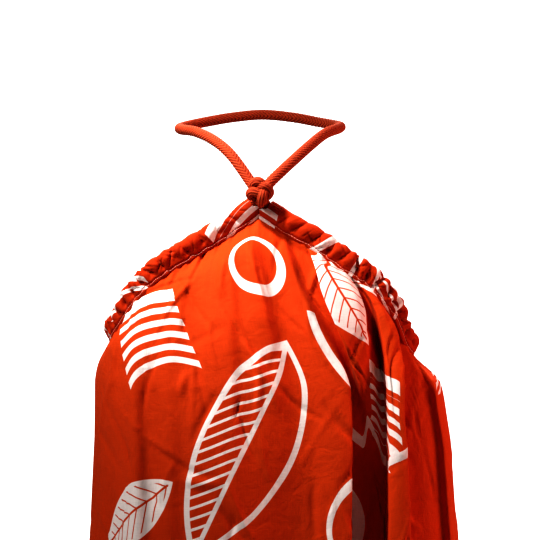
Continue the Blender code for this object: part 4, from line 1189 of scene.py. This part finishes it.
def make_fibre_material(name, colour, scale, bump, spread):
    """Rope or thread: fine fibres along the strand, painted shade darker between the ribs, matt."""
    material = bpy.data.materials.new(name)
    tree, shader = shader_of(material)
    coords = tree.nodes.new("ShaderNodeTexCoord")
    fibres = noise_over(tree, coords.outputs["Object"], scale, 5.0, 0.65)
    groove = tree.nodes.new("ShaderNodeAttribute")
    groove.attribute_name = "groove"
    fibre_colour = mixed(tree, fibres, *shades(colour, 1 - spread, 1 + spread))
    # Painted shade: the colour is darkened in the rope's grooves, by the groove attribute
    deep = (colour[0] * 0.30, colour[1] * 0.10, colour[2] * 0.2, 1)
    tree.links.new(mixed(tree, groove.outputs["Fac"], fibre_colour, deep), shader.inputs["Base Color"])
    relief(tree, shader, fibres, 0.6, bump)
    shader.inputs["Roughness"].default_value = 0.86
    shader.inputs["Specular IOR Level"].default_value = 0.22
    shader.inputs["Sheen Weight"].default_value = 0.04
    shader.inputs["Sheen Tint"].default_value = (1.0, 0.5, 0.35, 1)
    return material


def material_named(name):
    """A finish made earlier, or an error that says what is missing."""
    found = bpy.data.materials.get(name)
    if found is None:
        raise RuntimeError(f"the finishes have to be made before {name} is used")
    return found


def piece_points(name):
    """Points of a casing made earlier, as a grid without the rows turned in at its ends."""
    obj = bpy.data.objects.get(name)
    if obj is None:
        raise RuntimeError("the casings have to be gathered before they are stitched")
    co = np.empty(len(obj.data.vertices) * 3, dtype=np.float32)
    obj.data.vertices.foreach_get("co", co)
    return co.reshape(-1, CASING_SIDES, 3)[END_ROWS:-END_ROWS]


class DRESS_OT_finishes(bpy.types.Operator):
    """Makes the voile, casing, rope and thread materials"""

    bl_idname = "dress.finishes"
    bl_label = "Finishes"

    def execute(self, context):
        colours = context.scene.dress_colours
        ink, weave = make_print_group(), make_weave_group()
        make_cloth_material("voile_with_print", ink, weave, 0.0018, (1.0, 1.0, 1.0))
        # The casings' voile is the same cloth with its ground darkened by (0.76, 0.62, 0.6): painted shade
        make_cloth_material("gathered_voile_painted_shade", ink, weave, 0.0009, (0.76, 0.62, 0.6))
        make_fibre_material("cotton_rope", colours.rope, 900.0, 0.0004, 0.30)
        # Dark thread of the seam row: painted shadow line of the seam
        make_fibre_material("seam_shadow_thread", colours.thread, 2600.0, 0.0001, 0.20)
        make_fibre_material("edge_thread", colours.edge_thread, 2600.0, 0.0001, 0.20)
        return {"FINISHED"}


class DRESS_OT_panels(bpy.types.Operator):
    """Hangs the front and back panels of printed voile from the casings"""

    bl_idname = "dress.panels"
    bl_label = "Panels"

    def execute(self, context):
        cloth = material_named("voile_with_print")
        front = add_panel("cloth_front", "front_panel", PLEATS, PLEAT_COLUMNS, cloth, 11)
        back = add_panel("cloth_back", "back_panel", BACK_LINES, BACK_COLUMNS, cloth, 23)
        return {"FINISHED"}


class DRESS_OT_casings(bpy.types.Operator):
    """Gathers the three casings on the rope"""

    bl_idname = "dress.casings"
    bl_label = "Casings"

    def execute(self, context):
        cloth = material_named("gathered_voile_painted_shade")
        stops = THE_RUN[5]
        for casing, start, end in zip(CASINGS, stops[:-1], stops[1:]):
            add_casing(*casing, start, end, cloth)
        return {"FINISHED"}


class DRESS_OT_rope(bpy.types.Operator):
    """Lays the braided halter rope, ties its knot and threads the rope through the casings"""

    bl_idname = "dress.rope"
    bl_label = "Rope and knot"

    def execute(self, context):
        sizes = context.scene.dress_sizes
        line, _, _, _, length, _ = THE_RUN
        straps = smooth_path(STRAPS, STRAP_STEP)
        add_rope("halter_straps", "halter_rope", straps, sizes.rope_radius * STRAP_FULLNESS, 0.9, -4.0, 44)
        parts = []
        for bend in KNOT_BENDS:
            path = smooth_path(bend, KNOT_STEP)
            drawn_in = KNOT_HEART + (path[:, :3] - KNOT_HEART) * KNOT_DRAW
            parts.append(rope_surface(drawn_in, path[:, 3] * KNOT_STRAND, sizes.rib_pitch, STRAND_TILT, 0.3, 0.0))
        for begin, sign, heart in ((0.0, 1, LEFT_TAIL_END), (length[-1], -1, RIGHT_TAIL_END)):
            inside = at_length(line, length, begin + sign * np.array((TAIL_LENGTH, TAIL_LENGTH / 2, 0.0)))
            mouth = inside[-1] + 0.0035 * unit(inside[-1] - inside[-2])
            path = smooth_path(np.vstack([inside, mouth, heart]), TAIL_STEP)
            radius = sizes.rope_radius * TAIL_FULLNESS
            parts.append(rope_surface(path, radius, sizes.rib_pitch, BRAID_TILT, 0.0, 0.0))
        first = np.cumsum([0] + [groove.size for _, _, groove in parts])
        faces = [grid_faces(*groove.shape, wrap=True, flip=True, first=n) for (_, _, groove), n in zip(parts, first)]
        new_object(
            "halter_knot", np.vstack([points.reshape(-1, 3) for points, _, _ in parts]), np.vstack(faces),
            material_named("cotton_rope"), node="halter_rope",
            groove=np.concatenate([groove.ravel() for _, _, groove in parts]))
        s = np.linspace(TAIL_LENGTH, length[-1] - TAIL_LENGTH, HIDDEN_RINGS)
        add_rope("rope_in_casings", "casing_rope", at_length(line, length, s), HIDDEN_ROPE_RADIUS, 0.0, 0.0, 16)
        return {"FINISHED"}


class DRESS_OT_stitching(bpy.types.Operator):
    """Sews each casing along its lower edge with a dark row of stitches that paints the seam's shadow line, and a pale
    row of stitches
    """

    bl_idname = "dress.stitching"
    bl_label = "Stitching"

    def execute(self, context):
        stitch = context.scene.dress_sizes.stitch
        sewn = sewn_column(section_curve())
        for name, *_ in CASINGS:
            grid = piece_points(name)
            prior, row, after = (grid[:, k].astype(float) for k in (sewn - 1, sewn, sewn + 1))
            along = unit(np.gradient(row, axis=0))
            out = unit(np.cross(along, after - prior))
            out *= np.sign(np.sum(out * (row - grid.mean(axis=1)), axis=1))[:, None]
            # The dark row paints the seam's shadow line; the pale row is thread
            for prefix, on, (lift, radius), finish in (
                    ("stitches", row, SEAM_ROW, "seam_shadow_thread"), ("edge", after, EDGE_ROW, "edge_thread")):
                points, faces = stitch_row(on + out * lift, along, out, stitch, radius)
                new_object(f"{prefix}_{name}", points, faces, material_named(finish))
        return {"FINISHED"}


class DRESS_OT_stage(bpy.types.Operator):
    """Sets the pale floor, the lights, the white surroundings and the camera"""

    bl_idname = "dress.stage"
    bl_label = "Stage"

    def execute(self, context):
        scene = context.scene
        corners = [(x * FLOOR_HALF, y * FLOOR_HALF, FLOOR_Z) for x, y in ((-1, -1), (1, -1), (1, 1), (-1, 1))]
        mesh = bpy.data.meshes.new("floor")
        mesh.from_pydata(corners, [], [(0, 1, 2, 3)])
        material = bpy.data.materials.new("floor")
        _, shader = shader_of(material)
        shader.inputs["Base Color"].default_value = (*scene.dress_colours.stage, 1)
        shader.inputs["Roughness"].default_value = 0.9
        mesh.materials.append(material)
        floor = bpy.data.objects.new("floor", mesh)
        scene.collection.objects.link(floor)
        for name, kind, place, target, power, size, colour in LIGHTS:
            data = bpy.data.lights.new(name, kind)
            data.energy = power
            data.color = colour
            if kind == "AREA":
                data.size = size
            else:
                data.shadow_soft_size = size
                data.spot_size = CHEST_CONE
                data.spot_blend = 1.0
            lamp = bpy.data.objects.new(name, data)
            lamp.location = place
            aim = np.array(target, dtype=float) - np.array(place)
            yaw = math.atan2(aim[1], aim[0]) - math.pi / 2
            lamp.rotation_euler = (math.pi / 2 + math.asin(aim[2] / np.linalg.norm(aim)), 0, yaw)
            scene.collection.objects.link(lamp)
        world = bpy.data.worlds.new("studio")
        world.use_nodes = True
        tree = world.node_tree
        dim = tree.nodes["Background"]
        dim.inputs["Color"].default_value = (1, 1, 1, 1)
        dim.inputs["Strength"].default_value = SURROUND_LIGHT
        white = tree.nodes.new("ShaderNodeBackground")
        white.inputs["Color"].default_value = (1, 1, 1, 1)
        seen = tree.nodes.new("ShaderNodeLightPath")
        mix = tree.nodes.new("ShaderNodeMixShader")
        tree.links.new(seen.outputs["Is Camera Ray"], mix.inputs[0])
        tree.links.new(dim.outputs[0], mix.inputs[1])
        tree.links.new(white.outputs[0], mix.inputs[2])
        tree.links.new(mix.outputs[0], tree.nodes["World Output"].inputs["Surface"])
        scene.world = world
        scene.view_settings.view_transform = "Standard"
        scene.view_settings.look = "Very High Contrast"
        camera = bpy.data.cameras.new("camera")
        camera.sensor_width = FILM_WIDTH
        camera.lens = FILM_WIDTH * FOCAL_SHARE
        eye = bpy.data.objects.new("camera", camera)
        eye.location = EYE
        eye.rotation_euler = (math.pi / 2, 0, 0)
        scene.collection.objects.link(eye)
        scene.camera = eye
        return {"FINISHED"}


STEPS = (
    DRESS_OT_finishes, DRESS_OT_panels, DRESS_OT_casings, DRESS_OT_rope, DRESS_OT_stitching, DRESS_OT_stage,
)


class DRESS_PT_steps(bpy.types.Panel):
    """Lists the dress's settings and its steps in order"""

    bl_label = "Halter tent dress"
    bl_space_type = "VIEW_3D"
    bl_region_type = "UI"
    bl_category = "Dress"

    def draw(self, context):
        for group in (context.scene.dress_sizes, context.scene.dress_colours):
            box = self.layout.box()
            for name in group.bl_rna.properties.keys():
                if name not in ("rna_type", "name"):
                    box.prop(group, name)
        for step in STEPS:
            self.layout.operator(step.bl_idname)


CLASSES = (DressSizes, DressColours, *STEPS, DRESS_PT_steps)


def register():
    for item in CLASSES:
        bpy.utils.register_class(item)
    bpy.types.Scene.dress_sizes = PointerProperty(type=DressSizes)
    bpy.types.Scene.dress_colours = PointerProperty(type=DressColours)


def unregister():
    del bpy.types.Scene.dress_colours
    del bpy.types.Scene.dress_sizes
    for item in reversed(CLASSES):
        bpy.utils.unregister_class(item)


def main():
    """Dresses the solids step by step."""
    register()
    bpy.ops.dress.finishes()
    bpy.ops.dress.panels()
    bpy.ops.dress.casings()
    bpy.ops.dress.rope()
    bpy.ops.dress.stitching()
    bpy.ops.dress.stage()


if __name__ == "__main__":
    main()
